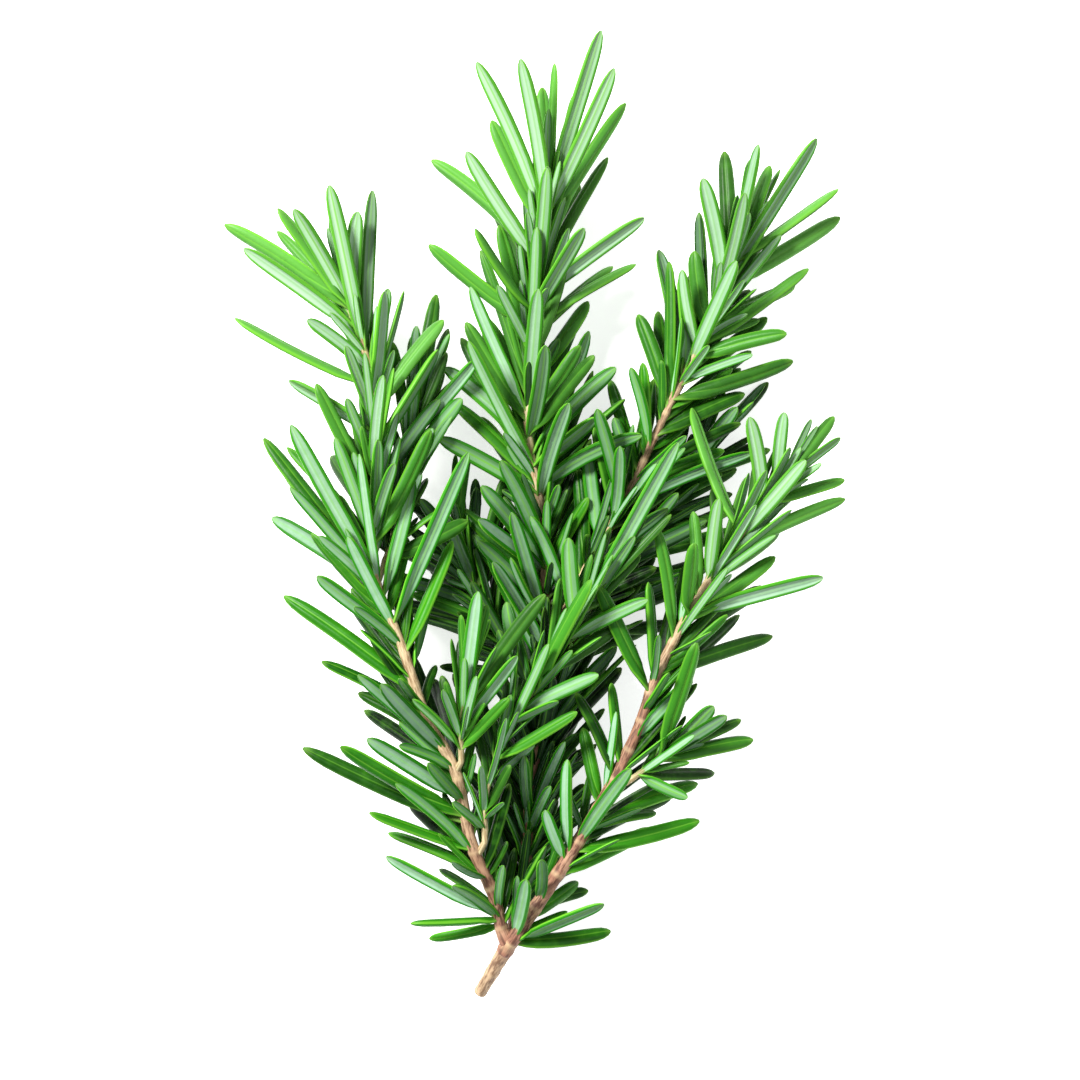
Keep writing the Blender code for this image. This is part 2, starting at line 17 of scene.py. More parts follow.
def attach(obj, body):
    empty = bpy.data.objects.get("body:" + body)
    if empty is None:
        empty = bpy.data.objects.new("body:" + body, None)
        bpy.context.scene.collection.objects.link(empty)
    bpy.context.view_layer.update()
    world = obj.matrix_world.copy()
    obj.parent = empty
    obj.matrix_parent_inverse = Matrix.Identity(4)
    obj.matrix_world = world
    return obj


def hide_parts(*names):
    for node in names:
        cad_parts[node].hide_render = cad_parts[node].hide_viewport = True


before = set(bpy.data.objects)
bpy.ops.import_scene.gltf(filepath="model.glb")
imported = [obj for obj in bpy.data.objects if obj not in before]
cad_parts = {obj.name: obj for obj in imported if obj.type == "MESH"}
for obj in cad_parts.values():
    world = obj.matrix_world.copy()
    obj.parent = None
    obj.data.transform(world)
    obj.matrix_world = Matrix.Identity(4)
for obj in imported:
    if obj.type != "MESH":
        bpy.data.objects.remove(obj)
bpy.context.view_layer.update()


# ---- The cut stem -----------------------------------------------------------------------------
# The woody foot of the sprig, about 3 mm thick: last year's wood, snipped off below the fork. Its
# bark is tan with a pink cast, ridged along its length and pale where leaves have dropped off.

MM = 0.001
CUT_END, FORK = (-9.8, -85.2, 3.6), (-5.05, -76.75, 12.0)
BASE_RADIUS = (1.45, 1.6)
BARK_SIDES = 14
BARK_STEP = 0.45  # between the rings of a stem
RIDGE_HEIGHT = 0.28 * MM


def unit(v):
    return v / max(float(np.linalg.norm(v)), 1e-9)


def along(values, share):
    """The value at this share of the way through an evenly spaced list."""
    return float(np.interp(share, np.linspace(0, 1, len(values)), values))


class Axis:
    """A smooth line through the points of a stem, read by distance from its foot."""

    def __init__(self, points):
        p = np.array(points, float)
        p = np.vstack([2 * p[0] - p[1], p, 2 * p[-1] - p[-2]])
        t = np.linspace(0, 1, 12, endpoint=False)[:, None]
        runs = [
            0.5 * (2 * b + (c - a) * t + (2 * a - 5 * b + 4 * c - d) * t**2 + (3 * b - a - 3 * c + d) * t**3)
            for a, b, c, d in zip(p, p[1:], p[2:], p[3:])
        ]
        self.points = np.vstack(runs + [p[-2:-1]])
        steps = np.linalg.norm(np.diff(self.points, axis=0), axis=1)
        self.distance = np.concatenate([[0], np.cumsum(steps)])
        self.length = float(self.distance[-1])

    def at(self, s):
        return np.array([np.interp(s, self.distance, self.points[:, i]) for i in range(3)])

    def frame(self, s):
        """Along the stem, to its right and up from it."""
        ahead = unit(self.at(min(s + 1.5, self.length)) - self.at(max(s - 1.5, 0)))
        right = unit(np.cross(ahead, (0, 0, 1)))
        return ahead, right, np.cross(right, ahead)


class Wire:
    """A node's output, on which Python's own signs do the sums, in shaders and in shape trees alike."""

    def __init__(self, tree, socket=None):
        self.tree, self.socket = tree, socket

    def node(self, kind, settings=None, values=None, output=0):
        """Any node: its type, its settings, and the values or wires of its sockets."""
        made = self.tree.nodes.new(kind)
        for name, value in (settings or {}).items():
            setattr(made, name, value)
        for name, value in (values or {}).items():
            if isinstance(value, Wire):
                self.tree.links.new(value.socket, made.inputs[name])
            else:
                made.inputs[name].default_value = value
        return Wire(self.tree, made.outputs[output])

    def sum(self, operation, *others):
        return self.node("ShaderNodeMath", {"operation": operation}, dict(enumerate((self, *others))))

    def __add__(self, other):
        return self.sum("ADD", other)

    __radd__ = __add__

    def __mul__(self, other):
        return self.sum("MULTIPLY", other)

    __rmul__ = __mul__

    def __sub__(self, other):
        return self.sum("SUBTRACT", other)

    def __rsub__(self, other):
        return (self * -1.0).sum("ADD", other)

    def __abs__(self):
        return self.sum("ABSOLUTE")

    def ease(self, low, high):
        """0 at low and under, 1 at high and over, and smooth between them."""
        return self.node(
            "ShaderNodeMapRange", {"interpolation_type": "SMOOTHSTEP"},
            {"Value": self, "From Min": low, "From Max": high},
        )

    def mix(self, first, second):
        """From the first colour to the second as this goes from 0 to 1."""
        return self.node(
            "ShaderNodeMix", {"data_type": "RGBA"},
            {0: self, 6: first, 7: second}, output=2,
        )


def colour(red, green, blue):
    """A colour given as on a screen, 0 to 255."""
    parts = [c / 255 for c in (red, green, blue)]
    return (*[c / 12.92 if c <= 0.04045 else ((c + 0.055) / 1.055) ** 2.4 for c in parts], 1.0)


def new_material(name):
    """A material, its shader and a wire to start its sums from."""
    made = bpy.data.materials.new(name)
    made.use_nodes = True
    return made, made.node_tree.nodes["Principled BSDF"], Wire(made.node_tree)


def bark_material():
    made, shader, wire = new_material("bark")
    ring = wire.node("ShaderNodeAttribute", {"attribute_name": "ring"}, output=1)
    node = wire.node("ShaderNodeAttribute", {"attribute_name": "node"}, output=2)
    woody = wire.node("ShaderNodeAttribute", {"attribute_name": "woody"}, output=2)
    place = wire.node("ShaderNodeTexCoord", output=3)
    fibres = wire.node(
        "ShaderNodeTexNoise", None,
        {"Vector": ring, "Scale": 2.6, "Detail": 6.0, "Roughness": 0.6},
    )
    patches = wire.node("ShaderNodeTexNoise", None, {"Vector": place, "Scale": 170.0, "Detail": 3.0})
    fine = wire.node("ShaderNodeTexNoise", None, {"Vector": place, "Scale": 2600.0, "Detail": 2.0})
    tan = patches.ease(0.38, 0.62).mix(colour(180, 140, 112), colour(152, 104, 82))
    old = fibres.ease(0.4, 0.62).mix(tan, colour(92, 56, 42))
    young = fibres.ease(0.38, 0.66).mix(colour(206, 190, 150), colour(150, 120, 80))
    green = fibres.ease(0.3, 0.7).mix(colour(112, 138, 62), colour(74, 92, 36))
    barked = woody.ease(0.0, 0.35).mix(green, woody.ease(0.4, 1.0).mix(young, old))
    pale = (node * (0.1 + 1.1 * patches)).ease(0.3, 1.1) * woody.ease(0.1, 0.5)
    wire.tree.links.new(pale.mix(barked, colour(206, 178, 138)).socket, shader.inputs["Base Color"])
    wire.tree.links.new((0.78 - 0.22 * fibres).socket, shader.inputs["Roughness"])
    height = 0.8 * fibres + 0.2 * fine
    bump = wire.node("ShaderNodeBump", None, {"Strength": 0.55, "Distance": 0.00025, "Height": height})
    wire.tree.links.new(bump.socket, shader.inputs["Normal"])
    return made


def new_tree(title, kinds):
    """An empty shape tree that takes lines, the named inputs and a material, with their wires."""
    tree = bpy.data.node_groups.new(title, "GeometryNodeTree")
    tree.interface.new_socket("Geometry", in_out="OUTPUT", socket_type="NodeSocketGeometry")
    for label, kind in {"Lines": "Geometry", **kinds, "Material": "Material"}.items():
        tree.interface.new_socket(label, in_out="INPUT", socket_type="NodeSocket" + kind)
    given = tree.nodes.new("NodeGroupInput").outputs
    return Wire(tree), {socket.name: Wire(tree, socket) for socket in given if socket.name}


def named(wire, label, kind="FLOAT"):
    """A value that every point of a line or a ring carries."""
    return wire.node("GeometryNodeInputNamedAttribute", {"data_type": kind}, {"Name": label})


def roughened(wire, swept, noise, depth, material):
    """Ends a tree: moves the surface in and out by the noise, smooths it and gives it its material."""
    out = wire.node("GeometryNodeInputNormal")
    push = wire.node(
        "ShaderNodeVectorMath", {"operation": "SCALE"}, {0: out, "Scale": (noise - 0.5) * depth}
    )
    shaped = wire.node("GeometryNodeSetPosition", None, {"Geometry": swept, "Offset": push})
    smooth = wire.node("GeometryNodeSetShadeSmooth", None, {"Geometry": shaped})
    whole = wire.node("GeometryNodeRealizeInstances", None, {"Geometry": smooth})
    whole = wire.node("GeometryNodeSetMaterial", None, {"Geometry": whole, "Material": material})
    tree = wire.tree
    tree.links.new(whole.socket, tree.nodes.new("NodeGroupOutput").inputs["Geometry"])
    return tree


def stem_tree():
    """Sweeps a ring of bark along a stem's middle line, thicker and thinner as the line says."""
    wire, inlet = new_tree(
        "Bark round a line",
        {"Sides": "Int", "Ridge height": "Float", "Ridge spacing": "Float", "Seed": "Float"},
    )
    curve = wire.node("GeometryNodeMeshToCurve", None, {"Mesh": inlet["Lines"]})
    circle = wire.node(
        "GeometryNodeCurvePrimitiveCircle", None, {"Resolution": inlet["Sides"], "Radius": 1.0}
    )
    corner = wire.node("GeometryNodeInputPosition")
    circle = wire.node(
        "GeometryNodeStoreNamedAttribute", {"data_type": "FLOAT_VECTOR", "domain": "POINT"},
        {"Geometry": circle, "Name": "ring", "Value": corner},
    )
    thick = named(wire, "thick")
    swept = wire.node(
        "GeometryNodeCurveToMesh", None,
        {"Curve": curve, "Profile Curve": circle, "Scale": thick, "Fill Caps": True},
    )
    ring, run = named(wire, "ring", "FLOAT_VECTOR"), named(wire, "run")
    lift = wire.node("ShaderNodeCombineXYZ", None, {"Z": run})
    spread = wire.node("ShaderNodeVectorMath", {"operation": "ADD"}, {0: ring, 1: lift})
    swept = wire.node(
        "GeometryNodeStoreNamedAttribute", {"data_type": "FLOAT_VECTOR", "domain": "POINT"},
        {"Geometry": swept, "Name": "ring", "Value": spread},
    )
    noise = wire.node(
        "ShaderNodeTexNoise", {"noise_dimensions": "4D"},
        {"Vector": spread, "W": inlet["Seed"], "Scale": inlet["Ridge spacing"], "Detail": 2.0},
    )
    return roughened(wire, swept, noise, inlet["Ridge height"], inlet["Material"])


def lines_object(name, runs, values):
    """Loose polylines, each a list of points in millimetres, with named values at every point."""
    points = np.vstack(runs) * MM
    edges, start = [], 0
    for run in runs:
        edges += [(start + i, start + i + 1) for i in range(len(run) - 1)]
        start += len(run)
    mesh = bpy.data.meshes.new(name)
    mesh.from_pydata([tuple(map(float, p)) for p in points], edges, [])
    for label, numbers in values.items():
        numbers = np.asarray(numbers, np.float32)
        if numbers.ndim == 2:
            mesh.attributes.new(label, "FLOAT_VECTOR", "POINT").data.foreach_set("vector", numbers.ravel())
        else:
            mesh.attributes.new(label, "FLOAT", "POINT").data.foreach_set("value", numbers)
    made = bpy.data.objects.new(name, mesh)
    bpy.context.scene.collection.objects.link(made)
    return made


def grown(shape, tree, values, spare=()):
    """The object with its tree's result as a plain mesh, and the values that only the tree reads dropped."""
    modifier = shape.modifiers.new("grow", "NODES")
    modifier.node_group = tree
    for socket in tree.interface.items_tree:
        if socket.in_out == "INPUT" and socket.name in values:
            modifier[socket.identifier] = values[socket.name]
    bpy.context.view_layer.update()
    graph = bpy.context.evaluated_depsgraph_get()
    mesh = bpy.data.meshes.new_from_object(shape.evaluated_get(graph))
    shape.modifiers.remove(modifier)
    shape.data = mesh
    mesh.name = shape.name
    for label in spare:
        if label in mesh.attributes:
            mesh.attributes.remove(mesh.attributes[label])
    return shape


BARK, STEM_TREE = bark_material(), stem_tree()


def stem_piece(name, axis, radii, nodes, woody, seed, foot=None):
    """A stem from foot to tip: swollen and pale at its leaf nodes, and set into the stem that it leaves."""
    count = max(8, round(axis.length / BARK_STEP))
    stations = np.linspace(0, axis.length, count)
    run = np.array([axis.at(s) for s in stations])
    thick = np.array([along(radii, s / axis.length) for s in stations])
    knot = np.zeros(count)
    for s in nodes:
        knot = np.maximum(knot, np.exp(-(((stations - s + 0.2) / 0.85) ** 2)))
    thick = thick * (0.94 + 0.09 * knot)
    if foot is not None:
        lead = np.linspace(0, 1, 7)[:-1, None]
        run = np.vstack([foot + (run[0] - foot) * lead, run])
        thick = np.concatenate([thick[0] * (1.0 + 0.16 * np.sin(np.pi * lead[:, 0] ** 0.6)), thick])
        knot = np.concatenate([np.linspace(0.2, 0.7, 6), np.maximum(knot, np.exp(-stations / 1.2) * 0.7)])
        stations = np.concatenate([stations[0] - 2.0 * (1 - lead[:, 0]), stations])
    values = {
        "thick": thick * MM, "run": stations * 0.16, "node": knot,
        "woody": np.interp(stations, np.linspace(0, axis.length, len(woody)), woody),
    }
    made = lines_object(name, [run], values)
    grown(
        made, STEM_TREE,
        {
            "Sides": BARK_SIDES, "Ridge height": RIDGE_HEIGHT, "Ridge spacing": 1.7,
            "Seed": float(seed), "Material": BARK,
        },
        spare=("thick", "run"),
    )
    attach(made, "root")
    return made


base_axis = Axis((CUT_END, FORK))
base = stem_piece("cut_stem", base_axis, (1.22, 1.3, 1.55), (6.2,), (0.72, 0.8), 3)
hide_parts("stem_base")


# ---- The cut face -----------------------------------------------------------------------------
# Where the stem was snipped: a pale oval of wood with darker pith in the middle and a thin ring of
# green under the bark. It stands a hair proud of the end of the stem, dried a little at its edge.

FACE_RADIUS, FACE_RINGS, FACE_SPOKES = 1.12, 7, 28


def cut_face_material():
    made, shader, wire = new_material("cut_wood")
    out = wire.node("ShaderNodeAttribute", {"attribute_name": "out"}, output=2)
    place = wire.node("ShaderNodeTexCoord", output=3)
    grain = wire.node("ShaderNodeTexNoise", None, {"Vector": place, "Scale": 3200.0, "Detail": 4.0})
    wood = grain.mix(colour(206, 190, 140), colour(172, 150, 98))
    pith = (out + 0.12 * grain).ease(0.36, 0.22).mix(wood, colour(150, 122, 76))
    rind = (out + 0.1 * grain).ease(0.84, 0.98).mix(pith, colour(120, 116, 54))
    wire.tree.links.new(rind.socket, shader.inputs["Base Color"])
    shader.inputs["Roughness"].default_value = 0.85
    bump = wire.node("ShaderNodeBump", None, {"Strength": 0.5, "Distance": 0.0001, "Height": grain})
    wire.tree.links.new(bump.socket, shader.inputs["Normal"])
    return made


def cut_face():
    """A shallow dished cap over the end of the stem, with how far out each point is."""
    ahead, right, up = base_axis.frame(0.0)
    centre, points, out, faces = base_axis.at(0.0), [], [], []
    chance = random.Random(17)
    for ring in range(FACE_RINGS):
        share = ring / (FACE_RINGS - 1)
        for spoke in range(FACE_SPOKES):
            angle = 2 * math.pi * spoke / FACE_SPOKES
            reach = FACE_RADIUS * max(share, 0.02) * (1 + 0.03 * math.sin(3 * angle + 1))
            proud = 0.1 - 0.05 * (1 - share) + chance.uniform(-0.012, 0.012)
            if ring == FACE_RINGS - 1:
                proud = 0.02
            spot = math.cos(angle) * right + math.sin(angle) * up
            points.append(centre + reach * spot - proud * ahead)
            out.append(share)
    back = len(points)
    for spoke in range(FACE_SPOKES):
        angle = 2 * math.pi * spoke / FACE_SPOKES
        spot = math.cos(angle) * right + math.sin(angle) * up
        points.append(centre + FACE_RADIUS * 0.96 * spot + 0.25 * ahead)
        out.append(1.0)
    for ring in range(FACE_RINGS - 1):
        for spoke in range(FACE_SPOKES):
            a, b = ring * FACE_SPOKES + spoke, ring * FACE_SPOKES + (spoke + 1) % FACE_SPOKES
            faces.append((a, b, b + FACE_SPOKES, a + FACE_SPOKES))
    rim = (FACE_RINGS - 1) * FACE_SPOKES
    for spoke in range(FACE_SPOKES):
        other = (spoke + 1) % FACE_SPOKES
        faces.append((rim + spoke, rim + other, back + other, back + spoke))
    faces.append(tuple(range(back, back + FACE_SPOKES)))
    faces.append(tuple(reversed(range(FACE_SPOKES))))
    mesh = bpy.data.meshes.new("cut_face")
    mesh.from_pydata([tuple(p * MM) for p in points], [], faces)
    mesh.attributes.new("out", "FLOAT", "POINT").data.foreach_set("value", np.array(out, np.float32))
    mesh.materials.append(cut_face_material())
    volume = sum(
        Vector(mesh.vertices[p.vertices[0]].co).dot(p.normal) * p.area for p in mesh.polygons
    )
    if volume < 0:
        mesh.flip_normals()
    for polygon in mesh.polygons:
        polygon.use_smooth = True
    made = bpy.data.objects.new("cut_face", mesh)
    bpy.context.scene.collection.objects.link(made)
    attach(made, "root")
    return made


cut_face()


# ---- The plan of each leafy stem --------------------------------------------------------------
# axis: points up the stem; radius: at its foot and tip; bare: length with no leaves; step: between
# leaf pairs, low and high; lean: of the leaves from the stem, in degrees, low and high; length: of
# the leaves, foot to tip; front: share of the leaves facing up that stay, low and high; tips: where
# the long outer leaves end, and how far up the sprig (y) each leaves the stem.

SHOOTS, woody = {}, {}

# The right branch: the strongest one, bare and pink-brown low down, tufted at its tip.
SHOOTS["branch_right"] = {
    "axis": (
        (-4.7, -76.2, 12.6), (-2.3, -72.8, 14.4), (4.9, -62.0, 17), (12.8, -48.7, 20),
        (18.0, -37.9, 22), (21.6, -27.8, 23), (27.9, -15.8, 23), (36.9, -2.3, 22),
        (45.0, 7.6, 20.5),
    ),
    "radius": (1.4, 0.6), "bare": 1.0, "step": (8.0, 2.4), "lean": (42, 26),
    "length": (20, 22, 22, 21, 17), "front": (0.1, 0.8), "seed": 21,
    "tips": (
        (55.0, 3.2, 18, -6), (53.1, 17.9, 15, 4), (47.7, 10.0, 25, -3), (47.3, 5.9, 14, -4),
        (50.9, -10.7, 22, -17), (42.3, -21.2, 12, -28), (44.1, 18.5, 22, 5), (37.8, 17.6, 25, 2),
        (32.4, 3.2, 29, -11), (27.9, -4.6, 31, -18), (11.2, -12.2, 27, -31), (27.9, 19.4, 15, -3),
        (12.2, -68.5, 20, -76), (13.5, -73.9, 9, -76), (7.7, -65.3, 6, -71), (29.2, -53.9, 16, -59),
        (21.6, -52.7, 11, -55), (1.8, -51.8, 22, -61), (5.8, -42.8, 24, -60), (7.2, -31.1, 21, -46),
        (8.5, -37.4, 17, -51), (13.5, -29.3, 25, -45), (9.9, -45.5, 16, -56), (20.0, -11.5, 24, -29),
        (29.0, -47.5, 10, -54), (24.5, -50.0, 7, -58), (41.0, -12.5, 12, -24), (43.5, -2.0, 11, -10),
        (36.5, -17.5, 13, -30), (42.5, -7.0, 17, -18), (27.0, -10.0, -4, -28),
        (1.0, -60.5, 21, -69), (-1.5, -64.0, 18, -73),
    ),
}
woody["branch_right"] = (1.0, 1.0, 0.9, 0.5, 0.1)

# The left branch: as strong, cream on its lit side, with the fullest tuft of all.
SHOOTS["branch_left"] = {
    "axis": (
        (-5.9, -73.4, 12.9), (-7.4, -67.0, 15), (-11.3, -57.7, 18), (-14.0, -45.1, 21),
        (-19.3, -35.0, 22.5), (-23.4, -23.0, 23.5), (-28.1, -10.4, 23), (-28.5, 8.6, 22),
        (-28.6, 22.1, 21), (-30.4, 30.2, 20.5), (-33.3, 38.6, 20),
    ),
    "radius": (1.2, 0.6), "bare": 0.8, "step": (7.8, 2.4), "lean": (46, 28),
    "length": (21, 25, 26, 23, 20), "front": (0.1, 0.8), "seed": 5,
    "tips": (
        (-55.0, 51.8, 19, 37), (-51.3, 47.3, 25, 33), (-45.9, 50.9, 15, 34), (-45.4, 54.5, 24, 36),
        (-42.3, 54.1, 28, 37), (-36.2, 58.4, 22, 33), (-31.3, 53.9, 28, 35), (-28.8, 57.9, 13, 32),
        (-26.5, 39.7, 26, 21), (-53.1, 35.2, 20, 23), (-40.1, 34.7, 29, 25), (-43.6, 24.2, 18, 15),
        (-36.5, 17.0, 14, 9), (-48.1, 14.0, 17, -11), (-42.8, 16.1, 27, -10), (-36.4, 10.9, 10, 0),
        (-46.8, -0.1, 13, -12), (-38.3, -10.4, 28, -21), (-44.5, -14.0, 18, -31),
        (-31.1, -27.8, 26, -42), (-27.0, -29.3, 28, -40), (-41.2, -41.0, 16, -54),
        (-34.2, -40.4, 27, -53), (-29.7, -39.2, 21, -50), (-29.3, -52.3, 21, -59),
        (-26.5, -60.4, 13, -71), (-22.1, -72.1, 17, -73), (-18.9, -75.3, 9, -73),
        (-11.7, 11.3, 28, -19), (-10.3, -36.6, 19, -49), (-4.5, -47.2, 20, -63),
        (-7.9, -50.9, 13, -67), (-3.6, -59.0, 14, -71), (-25.5, -33.0, 17, -48),
        (-30.5, -34.5, 12, -46), (-17.1, -63.0, 11, -70), (-14.4, -65.0, 21, -72),
        (-26.1, -56.2, 13, -63), (-37.0, -2.5, 12, -20), (-33.0, -15.0, 12, -30),
        (-5.5, -61.5, 19, -71), (-46.0, 10.5, 13, -13), (-28.5, -45.0, 11, -58),
        (-24.5, -47.0, 24, -60), (-22.5, -51.0, 9, -64),
        (-34.0, 14.0, -4, -6), (-18.5, -29.0, -4, -47),
    ),
}
woody["branch_left"] = (1.0, 0.7, 0.6, 0.5, 0.2)

# The centre branch: the longest, behind the other two, and leafy all the way.
SHOOTS["branch_centre"] = {
    "axis": (
        (-4.2, -74.8, 10.2), (-1.8, -64.0, 9), (-0.9, -50.9, 9.5), (1.2, -36.0, 10),
        (2.0, -23.9, 10.5), (1.3, -0.5, 11), (-0.9, 12.2, 11.5), (-1.1, 21.2, 12),
        (-0.4, 33.8, 12.5), (0.9, 46.4, 13), (2.7, 59.0, 14),
    ),
    "radius": (1.3, 0.6), "bare": 4.0, "step": (6.4, 2.4), "lean": (46, 20),
    "length": (18, 22, 24, 25, 24), "front": (0.9, 0.5), "seed": 8,
    "tips": (
        (11.7, 86.3, 18, 57), (14.0, 79.3, 22, 54), (16.2, 73.9, 13, 52), (13.0, 64.4, 7, 41),
        (19.4, 53.2, 15, 39), (13.9, 44.9, 6, 32), (18.0, 45.1, 11, 34), (8.6, 50.9, 23, 38),
        (-10.3, 80.6, 19, 53), (-2.5, 80.6, 24, 56), (1.3, 76.6, 13, 57), (-7.7, 70.7, 12, 50),
        (-18.5, 63.8, 9, 46), (-12.1, 64.7, 22, 45), (-18.9, 48.5, 13, 34), (-10.6, 50.9, 21, 36),
        (-9.5, 35.9, 6, 22), (-11.7, 31.1, 22, 9), (-16.2, 26.6, 13, 13), (-17.1, 14.0, 16, 4),
        (10.8, 17.6, 21, 9), (14.4, 26.6, 14, 11), (1.8, 30.2, 26, 14), (8.1, 30.5, 14, 17),
        (18.9, 14.5, 20, 5), (6.0, 20.0, 22, 4), (-14.5, 20.5, 9, 6), (-9.5, 5.5, 17, -9),
        (-13.0, 1.5, 8, -12), (9.5, 3.5, 14, -10), (-7.5, -8.0, 19, -24), (-6.0, 10.0, 22, -6),
        (-10.0, -0.5, 21, -8), (7.0, -41.0, -4, -57), (-7.5, 57.0, -4, 38), (8.0, 60.0, -3, 40),
        (16.0, 21.0, 9, 5), (10.5, 28.5, 19, 12), (12.0, -20.0, 7, -38), (15.5, -27.0, 5, -43),
    ),
}
woody["branch_centre"] = (1.0, 1.0, 0.8, 0.3, 0.1)

# The upper right branch: a fork of the centre branch, half way up.
SHOOTS["branch_upper_right"] = {
    "axis": (
        (4.2, -19.8, 12.0), (9.9, -7.7, 13.5), (16.2, 3.2, 14), (20.7, 13.1, 14.5),
        (25.2, 22.6, 15), (30.4, 32.9, 15), (32.9, 39.2, 15), (36.4, 47.6, 15),
    ),
    "radius": (0.9, 0.6), "bare": 4.0, "step": (7.0, 2.3), "lean": (42, 26),
    "length": (20, 22, 23, 22, 20), "front": (0.15, 0.7), "seed": 14,
    "tips": (
        (49.9, 67.1, 19, 43), (54.0, 58.4, 14, 45), (54.5, 53.6, 9, 41), (46.4, 41.5, 8, 35),
        (44.6, 32.5, 19, 28), (45.9, 27.8, 14, 21), (39.4, 65.6, 23, 46), (41.8, 62.6, 12, 45),
        (33.8, 65.3, 12, 44), (29.7, 59.9, 21, 41), (28.3, 47.3, 15, 33), (26.1, 43.7, 21, 30),
        (22.1, 47.8, 8, 25), (18.4, 36.1, 12, 20), (13.5, 24.5, 9, 8), (10.6, 16.0, 15, 0),
        (17.0, 26.5, 20, 12), (37.0, 57.0, 24, 40), (35.5, 45.0, 24, 30), (15.0, 12.5, 21, 0),
        (30.6, -0.5, 12, -11), (29.7, 10.0, 9, -2), (23.5, 1.5, 16, -9), (41.0, 51.0, -4, 38),
        (11.0, 19.0, 19, 3),
    ),
}
woody["branch_upper_right"] = (0.7, 0.7, 0.8, 0.6, 0.1)

# The short side shoots: soft young growth from the leaf angles of the branches.
SHOOTS["shoot_left_inner"] = {
    "axis": ((-13.0, -43.2, 22.6), (-12.9, -36.5, 25), (-11.7, -27.5, 26.5)),
    "radius": (0.75, 0.55), "bare": 2.5, "step": (5.0, 1.8), "lean": (42, 22),
    "length": (15, 17, 16), "front": (0.6, 0.6), "seed": 13,
    "tips": (
        (-9.9, -13.1, 32, -34), (1.8, -13.6, 30, -33), (-3.1, -24.4, 30, -37),
        (-16.5, -28.0, 27, -42),
    ),
}
SHOOTS["shoot_middle"] = {
    "axis": (
        (-8.9, -57.6, 18.7), (-8.6, -49.0, 20.5), (-5.6, -39.6, 22.5), (-0.8, -31.6, 24),
        (3.4, -25.6, 25), (7.0, -19.6, 25.5), (10.5, -13.5, 25.5),
    ),
    "radius": (0.75, 0.55), "bare": 2.5, "step": (7.0, 2.0), "lean": (40, 20),
    "length": (16, 19, 20), "front": (0.4, 0.5), "seed": 2,
    "tips": (
        (25.2, 13.1, 27, -13), (19.8, -14.5, 27, -22), (5.9, -3.7, 29, -19), (-5.0, -15.0, 22, -31),
        (9.9, -11.0, 30, -30),
    ),
}
SHOOTS["shoot_left_upper"] = {
    "axis": ((-26.9, -9.0, 21.4), (-24.4, -0.5, 18.5), (-22.6, 10.4, 16.5), (-21.0, 18.0, 15)),
    "radius": (0.75, 0.55), "bare": 1.5, "step": (5.5, 2.0), "lean": (40, 20),
    "length": (17, 21, 22), "front": (0.6, 0.6), "seed": 4,
    "tips": (
        (-17.6, 39.7, 11, 16), (-25.2, 31.0, 17, 12), (-14.4, 19.4, 20, -6), (-16.5, 26.5, 9, 11),
    ),
}
SHOOTS["shoot_right_low"] = {
    "axis": ((16.2, -47.0, 20.6), (20.7, -43.7, 20.5), (25.6, -40.0, 20)),
    "radius": (0.75, 0.55), "bare": 1.5, "step": (4.5, 1.8), "lean": (44, 26),
    "length": (15, 14, 10), "front": (0.5, 0.5), "seed": 6,
    "tips": (
        (38.7, -39.5, 17, -43), (31.5, -33.4, 24, -41), (33.7, -35.0, 21, -41),
        (36.5, -35.9, 18, -41), (31.9, -45.5, 13, -46), (27.0, -49.6, 21, -47),
        (28.4, -22.1, 29, -43),
    ),
}
SHOOTS["back_shoot_left"] = {
    "axis": ((-0.3, -30.0, 9.2), (-7.0, -19.5, 8), (-12.0, -9.4, 7.5), (-14.5, -1.0, 7.5)),
    "radius": (0.75, 0.55), "bare": 3.0, "step": (4.6, 2.0), "lean": (50, 28),
    "length": (18, 19, 18), "front": (0.6, 0.6), "seed": 9,
    "tips": (
        (-26.5, -15.5, -1, -20), (-27.0, -10.5, 4, -16), (-22.0, -17.5, 6, -23), (-27.0, -4.0, -3, -12),
        (-17.0, 15.5, 5, 0), (-12.0, 12.0, 12, -2), (-22.0, 8.0, 1, -5),
    ),
}
SHOOTS["back_shoot_right"] = {
    "axis": ((3.8, -28.5, 9.4), (12.5, -12.5, 7.5), (22.5, 2.2, 6.5), (29.7, 11.2, 6)),
    "radius": (0.75, 0.55), "bare": 5.0, "step": (5.0, 2.2), "lean": (50, 30),
    "length": (18, 20, 20), "front": (0.4, 0.4), "seed": 10,
    "tips": (
        (38.7, 21.2, 5, 8), (36.0, 19.6, 9, 7), (40.0, 13.0, -3, 2), (22.0, 24.0, 4, 5),
        (33.0, -8.0, -3, -16), (36.0, 2.0, 3, -9), (31.0, -9.0, 5, -18),
    ),
}
for name in SHOOTS:
    woody.setdefault(name, (0.3, 0.1, 0.0))


# ---- The leaves -------------------------------------------------------------------------------
# Narrow leathery needles, 2 to 3 cm long, in crossed pairs. Each is green and faintly wrinkled
# above, with its edges rolled under, and pale with felt below on both sides of a raised rib.

GAP = 0.3  # kept between the leaves of different branches
BLADE_TOP, BLADE_UNDER = 0.6, 0.35  # a blade's ridge over its middle line, and its flat side under it
ROOT_SHARE, TIP_SHARE = 0.38, 0.75  # a blade's width at its root and near its tip
LOW = 0.4  # the lowest that the middle of a blade lies over the surface
TRIES = 26  # draws before a leaf that finds no room is left out
HALF_WIDTH, HALF_LENGTH = 55.0, 86.3  # the sprig's outline, about its middle
ROOT_DEPTH = 0.15  # how far out from a stem's middle line a leaf begins, as a share of its radius
CLOSE, SAME_SIDE = 3.6, 0.6  # leaves this near on one side of a stem (mm, cosine) leave no room for another

